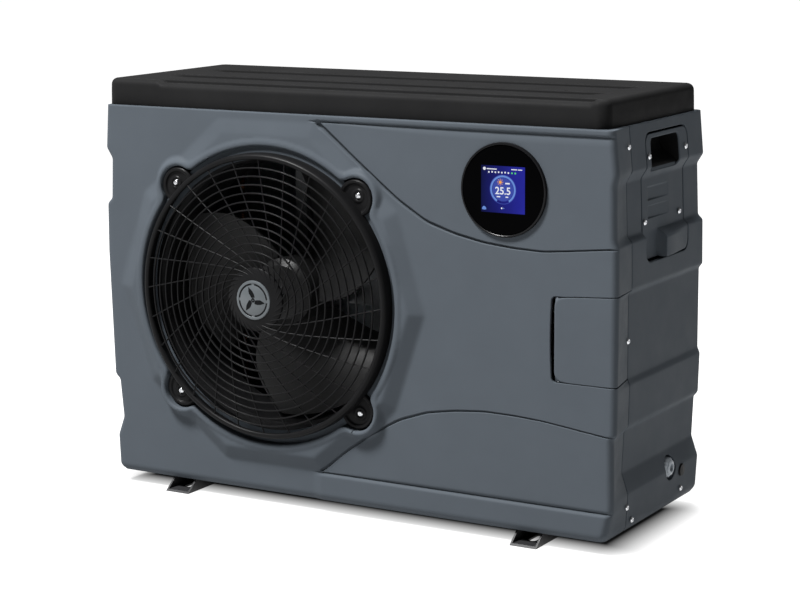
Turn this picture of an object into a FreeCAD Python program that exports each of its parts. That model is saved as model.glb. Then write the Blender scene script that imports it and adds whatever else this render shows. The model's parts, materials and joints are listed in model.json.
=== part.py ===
import FreeCAD, Part
import math
import os

# Pool and spa heat pump: an air-to-water unit in a moulded plastic casing that
# stands on two steel foot rails. Origin on the ground under the middle of the
# casing, +X to the right seen from the front, +Y to the back, +Z up. Millimetres.

V = FreeCAD.Vector
X_AXIS = V(1, 0, 0)
Y_AXIS = V(0, 1, 0)
Z_AXIS = V(0, 0, 1)

# ---- casing -------------------------------------------------------------
CASE_W = 920.0
CASE_D = 352.0
CASE_H = 624.0
FOOT_H = 22.0
WALL = 4.0
CORNER_R = 10.0
SEAM_Y = -105.0         # vertical joint between the front shell and the side panels
SEAM_GAP = 0.6
REAR_JOINT_X = 394.0    # where the side panels end on the back face
TONGUE_IN = WALL + 0.3  # flanges that reach under the next panel
TONGUE_OUT = WALL + 3.5
FRONT_Y = -CASE_D / 2
BACK_Y = CASE_D / 2
CASE_TOP = FOOT_H + CASE_H

# Moulded bands of the side faces: (height above the casing's foot, offset outwards)
RIGHT_BANDS = [(0, -6), (4, -2), (10, 0), (60, 3), (92, -8), (158, -5), (166, 2), (231, 4),
               (240, 0), (371, 0), (378, 6), (450, 5), (457, -3), (540, -6), (556, 4), (CASE_H, -2)]
LEFT_BANDS = [(0, -8), (4, -4), (10, -2), (60, 0), (92, -12), (158, -6), (166, 3), (378, 9),
              (458, 8), (467, -1), (535, -4), (552, 7), (CASE_H, 2)]
# The front right corner stands proud of the side bands
CORNER_BANDS = [(0, -6), (4, -3), (10, 0), (46, 8), (60, 8.5), (158, 7), (166, 12), (378, 13),
                (450, 12.5), (459, 9), (540, 8), (557, 12), (CASE_H, 5)]
SILL_BANDS = [(0, -6), (4, -2), (10, 0), (CASE_H, 0)]

# ---- top cover ----------------------------------------------------------
COVER_H = 44.0
COVER_X = (-464.0, 453.0)
COVER_HALF_D = 169.5
COVER_CORNER_R = 15.0
COVER_ROUND = 11.0
COVER_WALL = 4.0
COVER_GROOVES = [(-160.0, -350.0, 420.0), (-66.0, -385.0, 390.0), (50.0, -385.0, 395.0)]
GROOVE_W = 14.0
GROOVE_DEPTH = 2.5

# ---- fan, guard and the relief around them ------------------------------
FAN_X = -143.0
FAN_Z = FOOT_H + 328.0
RELIEF_H = 13.0
LIP_Y = FRONT_Y - RELIEF_H
RELIEF_CORNERS = [(298, 72), (288, 32.5), (291, 0), (288, -32.5), (298, -72),
                  (298, -108), (288, -147.5), (291, 180), (288, 147.5), (298, 108)]
RELIEF_TAPER = 0.93
OPENING_R = 243.0
LIP_R = 262.0
DUCT_Y = -158.0
EAR_R = 240.0           # the four guard ears lie on this circle, at 45 degrees
EAR_POCKET_R = 33.0
EAR_LOBE_R = 45.0
EAR_ANGLES = (45, 135, 225, 315)
EAR_SCREW_R = 247.0
GUARD_RIM_R = 238.0
GUARD_GRID_R = (50.0, 224.0)
GUARD_RINGS = 13
GUARD_RIBS = 28
GUARD_TWIST = 38.0
GUARD_BAR = 2.2
GUARD_FRONT_Y = -219.0
GUARD_SPHERE_R = 1306.0
GUARD_SKIN = 4.0
BADGE_R = 32.0
FAN_R = 208.0
FAN_MID_Y = -84.0
HUB_R = 55.0
SHAFT_R = 6.0
MOTOR_R = 48.0
MOTOR_Y = (-38.0, 40.0)
MOTOR_BOLTS = [(dx, dz) for dx in (-30, 30) for dz in (-30, 30)]
# Blade sections: (distance from the axis, chord, pitch and sweep in degrees, camber)
BLADE_SECTIONS = [(40, 115, -36, 54, 7), (55, 138, -33, 51.5, 8), (107, 216, -25, 40.5, 12),
                  (169, 253, -17, 28, 14), (215, 286, -14, 19, 15)]
BLADE_T = 3.5

# ---- display, door, handle ----------------------------------------------
DISPLAY_X = 286.0
DISPLAY_Z = FOOT_H + 527.0
DISPLAY_R = 72.4
DOOR_X = 370.0
DOOR_Z = (FOOT_H + 240.5, FOOT_H + 373.5)
DOOR_CORNER_R = 15.0
BAY_CORNER_R = 8.0
HINGE_X = DOOR_X + 5.5
HINGE_Y = FRONT_Y + 6.0
HINGE_R = 2.0
HANDLE_Y = (-49.0, 107.0)
HANDLE_Z = (FOOT_H + 413.0, FOOT_H + 606.0)
RECESS_Y = (-32.0, 75.0)
RECESS_Z = (FOOT_H + 549.0, FOOT_H + 599.0)
RECESS_X = 425.0
HOOD_Y = (8.0, 98.0)
HOOD_PROFILE = [(463.0, FOOT_H + 452.0), (473.0, FOOT_H + 445.0), (473.0, FOOT_H + 415.0),
                (463.0, FOOT_H + 415.0)]
HANDLE_MARKS = [(FOOT_H + 503.0, FOOT_H + 524.0), (FOOT_H + 475.0, FOOT_H + 495.0)]
MARK_PLAN = [(453.2, -28.0), (459.0, -28.0), (459.0, 50.0), (455.6, 50.0)]

# Decorative grooves of the front face: (x, height above the casing's foot)
SWOOSH = [(-45, 613), (60, 529), (100, 499), (150, 469), (200, 454), (250, 444),
          (300, 439), (350, 437), (400, 442), (452, 449)]
SILL_ARC = [(-45, 48), (50, 122), (100, 150), (150, 168), (200, 176), (250, 181),
            (300, 180), (350, 177), (400, 171), (452, 163)]

# ---- feet ---------------------------------------------------------------
RAIL_X = 326.0
RAIL_W = 46.0
RAIL_T = 3.0
RAIL_HALF_L = 190.0
ANCHOR_Y = 141.0
ANCHOR_R = 6.5
ANCHOR_SLOT = 40.0
RAIL_BOLTS = [(side * RAIL_X + shift, y) for side in (-1, 1) for shift in (-13, 13) for y in (-85, 85)]
PAN_HALF = (445.0, 163.0)
PAN_RIM = 28.0
PAN_T = 2.0
DRAIN = (-100.0, 90.0)

# ---- water side ---------------------------------------------------------
VESSEL = (222.0, 70.0)
VESSEL_R = 72.0
VESSEL_TOP = FOOT_H + 370.0
WATER_Z = {"inlet": FOOT_H + 120.0, "outlet": FOOT_H + 320.0}
PIPE_BORE_R = 25.1
RUN_CLEARANCE = 0.05

# ---- refrigerant side ---------------------------------------------------
COMPRESSOR = (345.0, -45.0)
COMPRESSOR_R = 58.0
ACCUMULATOR = (396.0, 66.0)
VALVE = (300.0, 0.0, FOOT_H + 395.0)        # reversing valve
THROTTLE = (170.0, -40.0, FOOT_H + 225.0)   # expansion valve, at its lower end
COIL_X = (-385.0, 112.0)
COIL_Y = (122.0, 160.0)
COIL_Z = (FOOT_H + 34.0, FOOT_H + 598.0)
COIL_ROWS = 20
COIL_TUBE_Y = 141.0
FIN_PITCH = 8.0
FIN_T = 1.0

# ---- electrics ----------------------------------------------------------
GLAND_Y = 62.0
GLAND_Z = FOOT_H + 63.0
GLAND_BORE_R = 6.0
WELL_R = 20.0
WELL_FLOOR_X = 444.0
PLUG_Y = 102.0
PLUG_Z = FOOT_H + 50.5
PLUG_WALL_Z = FOOT_H + 60.0      # where the wall behind the plug stands out most
TRAY_X = (150.0, 410.0)
TRAY_Y = (-130.0, 105.0)
TRAY_Z = (FOOT_H + 465.0, FOOT_H + 595.0)

# ---- screws -------------------------------------------------------------
SCREW_R = 2.0
SCREW_HEAD_R = 4.6
SEAM_SCREWS = [(-118.0, FOOT_H + 595.0), (-110.0, FOOT_H + 40.0)]
FOOT_SCREWS = [(-87.0, FOOT_H + 15.0), (102.0, FOOT_H + 20.0)]
SCREW_SEAT = 1.0        # heads stand this far off the drafted side faces
HANDLE_SCREWS = [(-43.5, FOOT_H + 573.0), (96.0, FOOT_H + 575.0),
                 (-43.5, FOOT_H + 472.0), (88.0, FOOT_H + 473.0)]
MID_SCREW = (-111.0, FOOT_H + 300.0)
REAR_SCREWS = [(side * 388.0, FOOT_H + height) for side in (-1, 1) for height in (40, 300, 580)]


# ---- basic shapes -------------------------------------------------------
def box(x0, x1, y0, y1, z0, z1):
    return Part.makeBox(x1 - x0, y1 - y0, z1 - z0, V(x0, y0, z0))


def rounded_box(bounds, radius, axis, keep=lambda middle: True):
    """Box whose edges along one axis are rounded, where keep() accepts the edge's middle."""
    block = box(*bounds)
    edges = [edge for edge in block.Edges
             if abs(edge.tangentAt(0).dot(axis)) > 0.9 and keep(edge.CenterOfMass)]
    return block.makeFillet(radius, edges)


def rod(radius, start, end):
    start, end = V(*start), V(*end)
    return Part.makeCylinder(radius, (end - start).Length, start, end - start)


def tube(outer_r, inner_r, start, end):
    return rod(outer_r, start, end).cut(rod(inner_r, start, end))


def placed(shape, centre, axis):
    """Move a shape built along +Z so that it stands at centre and points along axis."""
    shape.Placement = FreeCAD.Placement(V(*centre), FreeCAD.Rotation(Z_AXIS, axis))
    return shape


def turned(profile, centre, axis):
    """Solid of revolution from (radius, distance along the axis) points."""
    points = [V(radius, 0, along) for radius, along in profile]
    face = Part.Face(Part.makePolygon(points + points[:1]))
    solid = Part.Solid(face.revolve(V(0, 0, 0), Z_AXIS, 360))
    if solid.Volume < 0:
        solid.reverse()
    return placed(solid, centre, axis)


def ngon(sides, radius, centre, axis, length):
    """Prism with a regular polygon for its section, such as a hexagon nut."""
    corners = [V(radius * math.cos(2 * math.pi * i / sides), radius * math.sin(2 * math.pi * i / sides), 0)
               for i in range(sides)]
    prism = Part.Face(Part.makePolygon(corners + corners[:1])).extrude(V(0, 0, length))
    return placed(prism, centre, axis)


def union(shapes):
    return shapes[0].multiFuse(shapes[1:]).removeSplitter()


def group(shapes):
    return Part.makeCompound(shapes)


def pipe(points, radius, bend):
    """Round pipe through the points, every corner bent to the same radius."""
    points = [V(*point) for point in points]
    edges = []
    start = points[0]
    for before, corner, after in zip(points, points[1:], points[2:]):
        back = (before - corner).normalize()
        ahead = (after - corner).normalize()
        half = back.getAngle(ahead) / 2
        middle = (back + ahead).normalize()
        arc_in = corner + back * (bend / math.tan(half))
        arc_out = corner + ahead * (bend / math.tan(half))
        arc_mid = corner + middle * (bend / math.sin(half) - bend)
        edges.append(Part.LineSegment(start, arc_in).toShape())
        edges.append(Part.Arc(arc_in, arc_mid, arc_out).toShape())
        start = arc_out
    edges.append(Part.LineSegment(start, points[-1]).toShape())
    section = Part.Wire(Part.makeCircle(radius, points[0], points[1] - points[0]))
    return Part.Wire(edges).makePipeShell([section], True, False)


def screw(head_at, direction, length, head_r=SCREW_HEAD_R, shank_r=SCREW_R):
    """Pan-head screw: its head's underside is at head_at, and it points along direction."""
    into = V(*direction)
    seat = V(*head_at)
    profile = [(0, 0), (head_r, 0), (head_r, 1.2), (head_r * 0.7, 2.6), (0, 3.0)]
    head = turned(profile, seat, into * -1)
    cross = box(-0.6, 0.6, -head_r * 0.5, head_r * 0.5, 1.8, 4.0)
    cross = cross.fuse(box(-head_r * 0.5, head_r * 0.5, -0.6, 0.6, 1.8, 4.0))
    head = head.cut(placed(cross, seat, into * -1))
    return head.fuse(Part.makeCylinder(shank_r, length, seat, into)).removeSplitter()


def save(node, shape):
    shape.exportStep("parts/" + node + ".step")


# ---- casing forms -------------------------------------------------------
def offset_at(bands, height):
    """Offset of a face at a height, from the two band points around it."""
    for (low, first), (high, second) in zip(bands, bands[1:]):
        if low <= height <= high:
            return first + (second - first) * (height - low) / (high - low)
    return bands[-1][1]


def outline(x0, x1, y0, y1, z, radius, corner_x=None):
    """Level rectangle with round corners, as a closed wire.

    With corner_x, its front right corner is there, and the side reaches x1 at the seam."""
    bow = radius * (1 - math.sqrt(0.5))
    front_x = x1 if corner_x is None else corner_x
    sides = [((x0 + radius, y0), (front_x - radius, y0), (front_x - bow, y0 + bow)),
             ((front_x, y0 + radius), (x1, y1 - radius), (x1 - bow, y1 - bow)),
             ((x1 - radius, y1), (x0 + radius, y1), (x0 + bow, y1 - bow)),
             ((x0, y1 - radius), (x0, y0 + radius), (x0 + bow, y0 + bow))]
    edges = []
    for (start, end, corner), (following, _, _) in zip(sides, sides[1:] + sides[:1]):
        stops = [start, end]
        if corner_x is not None and start == sides[1][0]:
            stops.insert(1, (x1, SEAM_Y))
        for first, second in zip(stops, stops[1:]):
            edges.append(Part.LineSegment(V(*first, z), V(*second, z)).toShape())
        edges.append(Part.Arc(V(*end, z), V(*corner, z), V(*following, z)).toShape())
    return Part.Wire(edges)


def casing_form(inset):
    """The casing's outer form, drawn in by inset on every side, over its whole height.

    The right side widens from its bands at the seam to the prouder front right corner."""
    wires = []
    for level in sorted({height for height, _ in RIGHT_BANDS + LEFT_BANDS + CORNER_BANDS + SILL_BANDS}):
        left = -CASE_W / 2 - offset_at(LEFT_BANDS, level) + inset
        right = CASE_W / 2 + offset_at(RIGHT_BANDS, level) - inset
        corner = CASE_W / 2 + offset_at(CORNER_BANDS, level) - inset
        front = FRONT_Y - offset_at(SILL_BANDS, level) + inset
        wires.append(outline(left, right, front, -front, FOOT_H + level, CORNER_R - inset, corner))
    return Part.makeLoft(wires, True, True)


def casing_layer(outer_inset, inner_inset):
    return casing_form(outer_inset).cut(casing_form(inner_inset))


def side_x(side, height, y=0.0):
    """Outer face of the left (-1) or right (1) side at a height above the ground."""
    if side < 0:
        return -CASE_W / 2 - offset_at(LEFT_BANDS, height - FOOT_H)
    band = offset_at(RIGHT_BANDS, height - FOOT_H)
    corner = offset_at(CORNER_BANDS, height - FOOT_H)
    forward = max(0.0, SEAM_Y - y) / (SEAM_Y - FRONT_Y - CORNER_R)
    return CASE_W / 2 + band + (corner - band) * forward


def side_holes(side, places, radius, depth=30.0):
    """Rods along X through a side wall, to cut its screw holes."""
    return [rod(radius, (side_x(side, z) + side * 10, y, z), (side_x(side, z) - side * depth, y, z))
            for y, z in places]


# ---- front shell --------------------------------------------------------
def fan_point(radius, degrees, y):
    angle = math.radians(degrees)
    return V(FAN_X + radius * math.cos(angle), y, FAN_Z + radius * math.sin(angle))


def fan_disc(radius, y0, y1, at_radius=0.0, degrees=0.0):
    centre = fan_point(at_radius, degrees, y0)
    return Part.makeCylinder(radius, y1 - y0, centre, Y_AXIS)


def relief(scale, base_y, top_y):
    """Ten-sided raised field around the fan, tapering towards its front."""
    wires = []
    for size, y in ((scale, base_y), (scale * RELIEF_TAPER, top_y)):
        corners = [fan_point(radius * size, degrees, y) for radius, degrees in RELIEF_CORNERS]
        wires.append(Part.makePolygon(corners + corners[:1]))
    return Part.makeLoft(wires, True, True)


def groove(points, depth, widest, narrowest):
    """Crescent cutter along a smooth curve on the front face, tapering in width."""
    lower = Part.BSplineCurve()
    lower.interpolate([V(x, FRONT_Y - 2, FOOT_H + z) for x, z in points])
    upper = Part.BSplineCurve()
    last = len(points) - 1
    upper.interpolate([V(x, FRONT_Y - 2, FOOT_H + z + widest + (narrowest - widest) * i / last)
                       for i, (x, z) in enumerate(points)])
    ends = [Part.LineSegment(lower.EndPoint, upper.EndPoint).toShape(),
            Part.LineSegment(upper.StartPoint, lower.StartPoint).toShape()]
    wire = Part.Wire([lower.toShape(), ends[0], upper.toShape(), ends[1]])
    return Part.Face(wire).extrude(V(0, 2 + depth, 0))


def door_block(margin, hinge_gap, corner_r):
    bounds = (DOOR_X - hinge_gap, CASE_W, FRONT_Y - 20, SEAM_Y + SEAM_GAP,
              DOOR_Z[0] - margin, DOOR_Z[1] + margin)
    return rounded_box(bounds, corner_r, Y_AXIS, lambda middle: middle.x < DOOR_X + 1)


def make_front_panel():
    shell = casing_layer(0, WALL).common(
        box(-CASE_W, CASE_W, -CASE_D, SEAM_Y - SEAM_GAP / 2, FOOT_H, CASE_TOP))
    shell = shell.fuse(relief(1.0, FRONT_Y, LIP_Y))
    shell = shell.cut(relief(0.985, FRONT_Y + WALL, LIP_Y + WALL))
    lobes = [fan_disc(EAR_LOBE_R, LIP_Y, FRONT_Y + WALL, EAR_R, angle) for angle in EAR_ANGLES]
    lip = turned([(OPENING_R - 1, LIP_Y + WALL), (OPENING_R - 1, LIP_Y - 1), (OPENING_R + 4, LIP_Y - 2.5),
                  (LIP_R - 5, LIP_Y - 2), (LIP_R, LIP_Y), (LIP_R, LIP_Y + WALL)],
                 (FAN_X, 0, FAN_Z), Y_AXIS)
    duct = fan_disc(OPENING_R + WALL, LIP_Y, DUCT_Y)
    shell = shell.multiFuse(lobes + [lip, duct])
    pockets = [fan_disc(EAR_POCKET_R, LIP_Y - 20, FRONT_Y, EAR_R, angle) for angle in EAR_ANGLES]
    ear_holes = [fan_disc(SCREW_R, FRONT_Y - 5, FRONT_Y + WALL + 5, EAR_SCREW_R, angle)
                 for angle in EAR_ANGLES]
    shell = shell.cut(pockets + ear_holes + [fan_disc(OPENING_R, LIP_Y - 20, DUCT_Y + 5)])
    display_hole = rod(60.4, (DISPLAY_X, FRONT_Y - 5, DISPLAY_Z), (DISPLAY_X, FRONT_Y + 10, DISPLAY_Z))
    shell = shell.cut([display_hole, door_block(0.8, 5.0, BAY_CORNER_R)])
    shell = shell.cut([groove(SWOOSH, 2.5, 4.0, 1.2), groove(SILL_ARC, 2.0, 2.0, 1.2)])
    ledges = casing_layer(WALL - 1, 2 * WALL).common(
        box(DOOR_X + 16, CASE_W, -CASE_D, SEAM_Y - 24, DOOR_Z[0] - 8, DOOR_Z[0] - 0.8).fuse(
            box(DOOR_X + 16, CASE_W, -CASE_D, SEAM_Y - 24, DOOR_Z[1] + 0.8, DOOR_Z[1] + 8)))
    stop_end = CASE_W / 2 - CORNER_R - 2
    stops = casing_layer(WALL + 0.6, 2 * WALL).common(
        box(DOOR_X + 16, stop_end, -CASE_D, SEAM_Y - 24, DOOR_Z[0] - 8, DOOR_Z[0] + 6).fuse(
            box(DOOR_X + 16, stop_end, -CASE_D, SEAM_Y - 24, DOOR_Z[1] - 6, DOOR_Z[1] + 8)))
    hinge_lugs = box(HINGE_X - 6.5, HINGE_X + 6.5, FRONT_Y + WALL - 1, HINGE_Y + 7, DOOR_Z[0] - 9.5,
                     DOOR_Z[0] - 1.7)
    hinge_lugs = hinge_lugs.fuse(box(HINGE_X - 6.5, HINGE_X + 6.5, FRONT_Y + WALL - 1, HINGE_Y + 7,
                                     DOOR_Z[1] + 1.7, DOOR_Z[1] + 9.5))
    shell = shell.multiFuse([ledges, stops, hinge_lugs])
    pin_hole = rod(HINGE_R + RUN_CLEARANCE, (HINGE_X, HINGE_Y, DOOR_Z[0] - 20),
                   (HINGE_X, HINGE_Y, DOOR_Z[1] + 20))
    screw_holes = (side_holes(1, SEAM_SCREWS, SCREW_R) + side_holes(-1, SEAM_SCREWS + [MID_SCREW], SCREW_R))
    return shell.cut([pin_hole] + screw_holes).removeSplitter()


def make_door():
    skin = casing_layer(0, WALL).common(door_block(0.0, 0.0, DOOR_CORNER_R)).common(
        box(DOOR_X, CASE_W, -CASE_D, SEAM_Y - 0.4, FOOT_H, CASE_TOP))
    barrel = rod(5.0, (HINGE_X, HINGE_Y, DOOR_Z[0] + 14), (HINGE_X, HINGE_Y, DOOR_Z[1] - 14))
    door = skin.fuse(barrel).cut(rod(HINGE_R, (HINGE_X, HINGE_Y, FOOT_H), (HINGE_X, HINGE_Y, CASE_TOP)))
    return door.cut(side_holes(1, [MID_SCREW], SCREW_R)).removeSplitter()


# ---- side, rear and top panels ------------------------------------------
def seam_tongue(side):
    """Flange of a side panel that reaches forward under the front shell."""
    outer, inner = sorted((side * 430.0, side * CASE_W))
    top = CASE_TOP - 12
    reach = casing_layer(TONGUE_IN, TONGUE_OUT).common(
        box(outer, inner, SEAM_Y - 23, SEAM_Y + SEAM_GAP / 2, FOOT_H + 12, top))
    root = casing_layer(WALL - 1, TONGUE_OUT).common(
        box(outer, inner, SEAM_Y + SEAM_GAP / 2, SEAM_Y + 9, FOOT_H + 12, top))
    return [reach, root]


def rear_tongue(side):
    """Flange of a side panel that reaches under the rear panel."""
    edge = side * REAR_JOINT_X
    reach_x = sorted((edge + side * SEAM_GAP / 2, edge - side * 16))
    root_x = sorted((edge + side * SEAM_GAP / 2, edge + side * 9))
    top = CASE_TOP - 12
    reach = casing_layer(TONGUE_IN, TONGUE_OUT).common(
        box(*reach_x, BACK_Y - 30, BACK_Y + 30, FOOT_H + 12, top))
    root = casing_layer(WALL - 1, TONGUE_OUT).common(
        box(*root_x, BACK_Y - 30, BACK_Y + 30, FOOT_H + 12, top))
    return [reach, root]


def make_side_panel(side):
    x0, x1 = sorted((side * (REAR_JOINT_X + SEAM_GAP / 2), side * CASE_W))
    wall = casing_layer(0, WALL).common(box(x0, x1, SEAM_Y + SEAM_GAP / 2, CASE_D, FOOT_H, CASE_TOP))
    panel = wall.multiFuse(seam_tongue(side) + rear_tongue(side))
    panel = panel.cut(side_holes(side, SEAM_SCREWS + FOOT_SCREWS, SCREW_R))
    rear = [rod(SCREW_R, (x, BACK_Y - 20, z), (x, BACK_Y + 5, z)) for x, z in REAR_SCREWS if x * side > 0]
    return panel.cut(rear)


def handle_block(margin):
    bounds = (RECESS_X - 60, CASE_W, HANDLE_Y[0] - margin, HANDLE_Y[1] + margin,
              HANDLE_Z[0] - margin, HANDLE_Z[1] + margin)
    return rounded_box(bounds, 15.0 + margin, X_AXIS)


def make_right_side_panel():
    panel = make_side_panel(1).cut(handle_block(0.8))
    root = casing_layer(WALL - 1, TONGUE_OUT).common(handle_block(8.0)).cut(handle_block(0.8))
    ledge = casing_layer(TONGUE_IN, TONGUE_OUT).common(handle_block(4.0))
    window = box(RECESS_X - 60, CASE_W, RECESS_Y[0] - 4, HANDLE_Y[1] - 16, HANDLE_Z[0] + 5, HANDLE_Z[1] - 3)
    panel = panel.fuse(root.fuse(ledge).cut(window))
    panel = panel.cut(side_holes(1, HANDLE_SCREWS, SCREW_R))
    centre = (GLAND_Y, GLAND_Z)
    cup = rod(WELL_R + 3, (WELL_FLOOR_X - 3, *centre), (480, *centre)).common(casing_form(1.5))
    hollow = rod(WELL_R, (WELL_FLOOR_X, *centre), (480, *centre))
    gland_hole = rod(10.0, (430, *centre), (450, *centre))
    plug_hole = rod(8.0, (440, PLUG_Y, PLUG_Z), (470, PLUG_Y, PLUG_Z))
    return panel.fuse(cup).cut([hollow, gland_hole, plug_hole]).removeSplitter()


def make_left_side_panel():
    return make_side_panel(-1).cut(side_holes(-1, [MID_SCREW], SCREW_R)).removeSplitter()


def make_handle_cover():
    skin = casing_layer(0, WALL).common(handle_block(0.0))
    cup = box(RECESS_X, 456, RECESS_Y[0] - 3, RECESS_Y[1] + 3, RECESS_Z[0] - 3, RECESS_Z[1] + 3)
    cup = cup.common(casing_form(WALL / 2))
    cover = skin.fuse(cup)
    hollow = rounded_box((RECESS_X + 3, CASE_W, *RECESS_Y, *RECESS_Z), 8.0, X_AXIS)
    cover = cover.cut(hollow)
    hood_side = [V(x, HOOD_Y[0], z) for x, z in HOOD_PROFILE]
    hood = Part.Face(Part.makePolygon(hood_side + hood_side[:1])).extrude(V(0, HOOD_Y[1] - HOOD_Y[0], 0))
    marks = []
    for low, high in HANDLE_MARKS:
        plan = [V(x, y, low) for x, y in MARK_PLAN]
        marks.append(Part.Face(Part.makePolygon(plan + plan[:1])).extrude(V(0, 0, high - low)))
    cover = cover.fuse(hood).cut(marks)
    return cover.cut(side_holes(1, HANDLE_SCREWS, SCREW_R)).removeSplitter()


def make_rear_panel():
    edge = REAR_JOINT_X - SEAM_GAP / 2
    panel = casing_layer(0, WALL).common(box(-edge, edge, BACK_Y - 40, BACK_Y + 5, FOOT_H, CASE_TOP))
    panel = panel.cut(box(-375, 115, BACK_Y - 20, BACK_Y + 20, FOOT_H + 50, FOOT_H + 585))
    holes = [rod(34.5, (VESSEL[0], BACK_Y - 20, z), (VESSEL[0], BACK_Y + 20, z)) for z in WATER_Z.values()]
    holes += [rod(SCREW_R, (x, BACK_Y - 20, z), (x, BACK_Y + 20, z)) for x, z in REAR_SCREWS]
    return panel.cut(holes).removeSplitter()


def make_rear_grille():
    """Moulded air-inlet grille over the coil: a frame with upright and level bars."""
    x0, x1, z0, z1 = -382.0, 124.0, FOOT_H + 41.0, FOOT_H + 594.0
    border, bar, columns, rows = 12.0, 3.0, 19, 9
    pitch_x = (x1 - x0 - 2 * border + bar) / columns
    pitch_z = (z1 - z0 - 2 * border + bar) / rows
    cells = []
    for column in range(columns):
        for row in range(rows):
            left = x0 + border + column * pitch_x
            low = z0 + border + row * pitch_z
            cells.append(box(left, left + pitch_x - bar, BACK_Y - 1, BACK_Y + 12, low, low + pitch_z - bar))
    frame = rounded_box((x0, x1, BACK_Y, BACK_Y + 6, z0, z1), 8.0, Y_AXIS)
    return frame.cut(cells)


def cover_form(inset, height):
    """The top cover's form: straight skirt, then a rounded shoulder."""
    steps = 6
    shoulder = COVER_ROUND - inset / 2
    wires = []
    levels = [(0.0, 0.0)]
    for step in range(steps + 1):
        angle = math.pi / 2 * step / steps
        levels.append((shoulder * (1 - math.cos(angle)), height - shoulder * (1 - math.sin(angle))))
    for draw_in, level in levels:
        smaller = inset + draw_in
        half_y = COVER_HALF_D - smaller
        radius = max(COVER_CORNER_R - smaller, 1.5)
        wires.append(outline(COVER_X[0] + smaller, COVER_X[1] - smaller, -half_y, half_y,
                             CASE_TOP + level, radius))
    return Part.makeLoft(wires, True, True)


def make_top_cover():
    cover = cover_form(0.0, COVER_H).cut(cover_form(COVER_WALL, COVER_H - COVER_WALL))
    top = CASE_TOP + COVER_H
    for y, left, right in COVER_GROOVES:
        floor = top - GROOVE_DEPTH
        corners = [V(left, y, floor), V(right, y, floor), V(right + GROOVE_W, y + GROOVE_W, floor),
                   V(left - GROOVE_W, y + GROOVE_W, floor)]
        cover = cover.cut(Part.Face(Part.makePolygon(corners + corners[:1])).extrude(V(0, 0, 5)))
    rim_half_x = CASE_W / 2 - 2 * COVER_WALL - 3
    rim = outline(-rim_half_x - 3, rim_half_x + 3, FRONT_Y + 4.6, BACK_Y - 4.6, CASE_TOP - 7, 8)
    rim = Part.Face(rim).extrude(V(0, 0, 8))
    rim_hole = Part.Face(outline(-rim_half_x, rim_half_x, FRONT_Y + 7.6, BACK_Y - 7.6, CASE_TOP - 8, 5))
    rim = rim.cut(rim_hole.extrude(V(0, 0, 12)))
    return cover.fuse(rim).removeSplitter()


# ---- fan guard and badge ------------------------------------------------
def guard_cells():
    """Outlines of the guard's openings: rings crossed by ribs that spiral inwards."""
    inner, outer = GUARD_GRID_R
    pitch = (outer - inner) / GUARD_RINGS
    plane = GUARD_FRONT_Y - 20

    def rib_angle(radius, rib):
        return 360.0 * rib / GUARD_RIBS - GUARD_TWIST * (outer - radius) / (outer - inner)

    wires = []
    for ring in range(GUARD_RINGS):
        low = inner + ring * pitch + GUARD_BAR / 2
        high = low + pitch - GUARD_BAR
        low_trim = math.degrees(GUARD_BAR / 2 / low)
        high_trim = math.degrees(GUARD_BAR / 2 / high)
        for rib in range(GUARD_RIBS):
            a, b = rib_angle(low, rib) + low_trim, rib_angle(low, rib + 1) - low_trim
            c, d = rib_angle(high, rib) + high_trim, rib_angle(high, rib + 1) - high_trim
            arc_in = Part.Arc(fan_point(low, b, plane), fan_point(low, (a + b) / 2, plane),
                              fan_point(low, a, plane))
            arc_out = Part.Arc(fan_point(high, c, plane), fan_point(high, (c + d) / 2, plane),
                               fan_point(high, d, plane))
            edges = [Part.LineSegment(fan_point(low, a, plane), fan_point(high, c, plane)),
                     arc_out,
                     Part.LineSegment(fan_point(high, d, plane), fan_point(low, b, plane)),
                     arc_in]
            wires.append(Part.Wire([edge.toShape() for edge in edges]))
    return wires


def make_fan_guard():
    border = Part.Wire(Part.makeCircle(GUARD_RIM_R - 5, fan_point(0, 0, GUARD_FRONT_Y - 20), Y_AXIS))
    grid = Part.makeFace([border] + guard_cells(), "Part::FaceMakerBullseye").extrude(V(0, 60, 0))
    centre = V(FAN_X, GUARD_FRONT_Y + GUARD_SPHERE_R, FAN_Z)
    dome = Part.makeSphere(GUARD_SPHERE_R, centre).cut(Part.makeSphere(GUARD_SPHERE_R - GUARD_SKIN, centre))
    grid = grid.common(dome)
    axis_foot = (FAN_X, 0, FAN_Z)
    rim = turned([(GUARD_RIM_R - 10, -198.0), (GUARD_RIM_R - 4, -196.5), (GUARD_RIM_R, -191.0),
                  (GUARD_RIM_R, -176.5), (GUARD_RIM_R - 4, -176.5), (GUARD_RIM_R - 4, -190.0),
                  (GUARD_RIM_R - 10, -194.0)], axis_foot, Y_AXIS)
    hub = turned([(0, -219.4), (36, -219.4), (44, -217.5), (52, -214.5), (0, -214.5)], axis_foot, Y_AXIS)
    ears = [fan_disc(18.0, FRONT_Y - 5, FRONT_Y - 0.5, EAR_SCREW_R, angle) for angle in EAR_ANGLES]
    inside = fan_disc(GUARD_RIM_R - 4, -200, -170)
    ears = [ear.cut(inside) for ear in ears]
    guard = grid.multiFuse([rim, hub] + ears)
    holes = [fan_disc(SCREW_R, FRONT_Y - 10, FRONT_Y + 5, EAR_SCREW_R, angle) for angle in EAR_ANGLES]
    return guard.cut(holes).removeSplitter()


def make_guard_badge():
    """Plain round cap with a raised ring, on the guard's hub."""
    foot = (FAN_X, 0, FAN_Z)
    cap = turned([(0, -219.4), (BADGE_R, -219.4), (BADGE_R, -220.8), (BADGE_R - 1.2, -221.8),
                  (0, -221.8)], foot, Y_AXIS)
    return cap.cut(turned([(23, -223), (25, -223), (25, -221.0), (23, -221.0)], foot, Y_AXIS))


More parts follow.
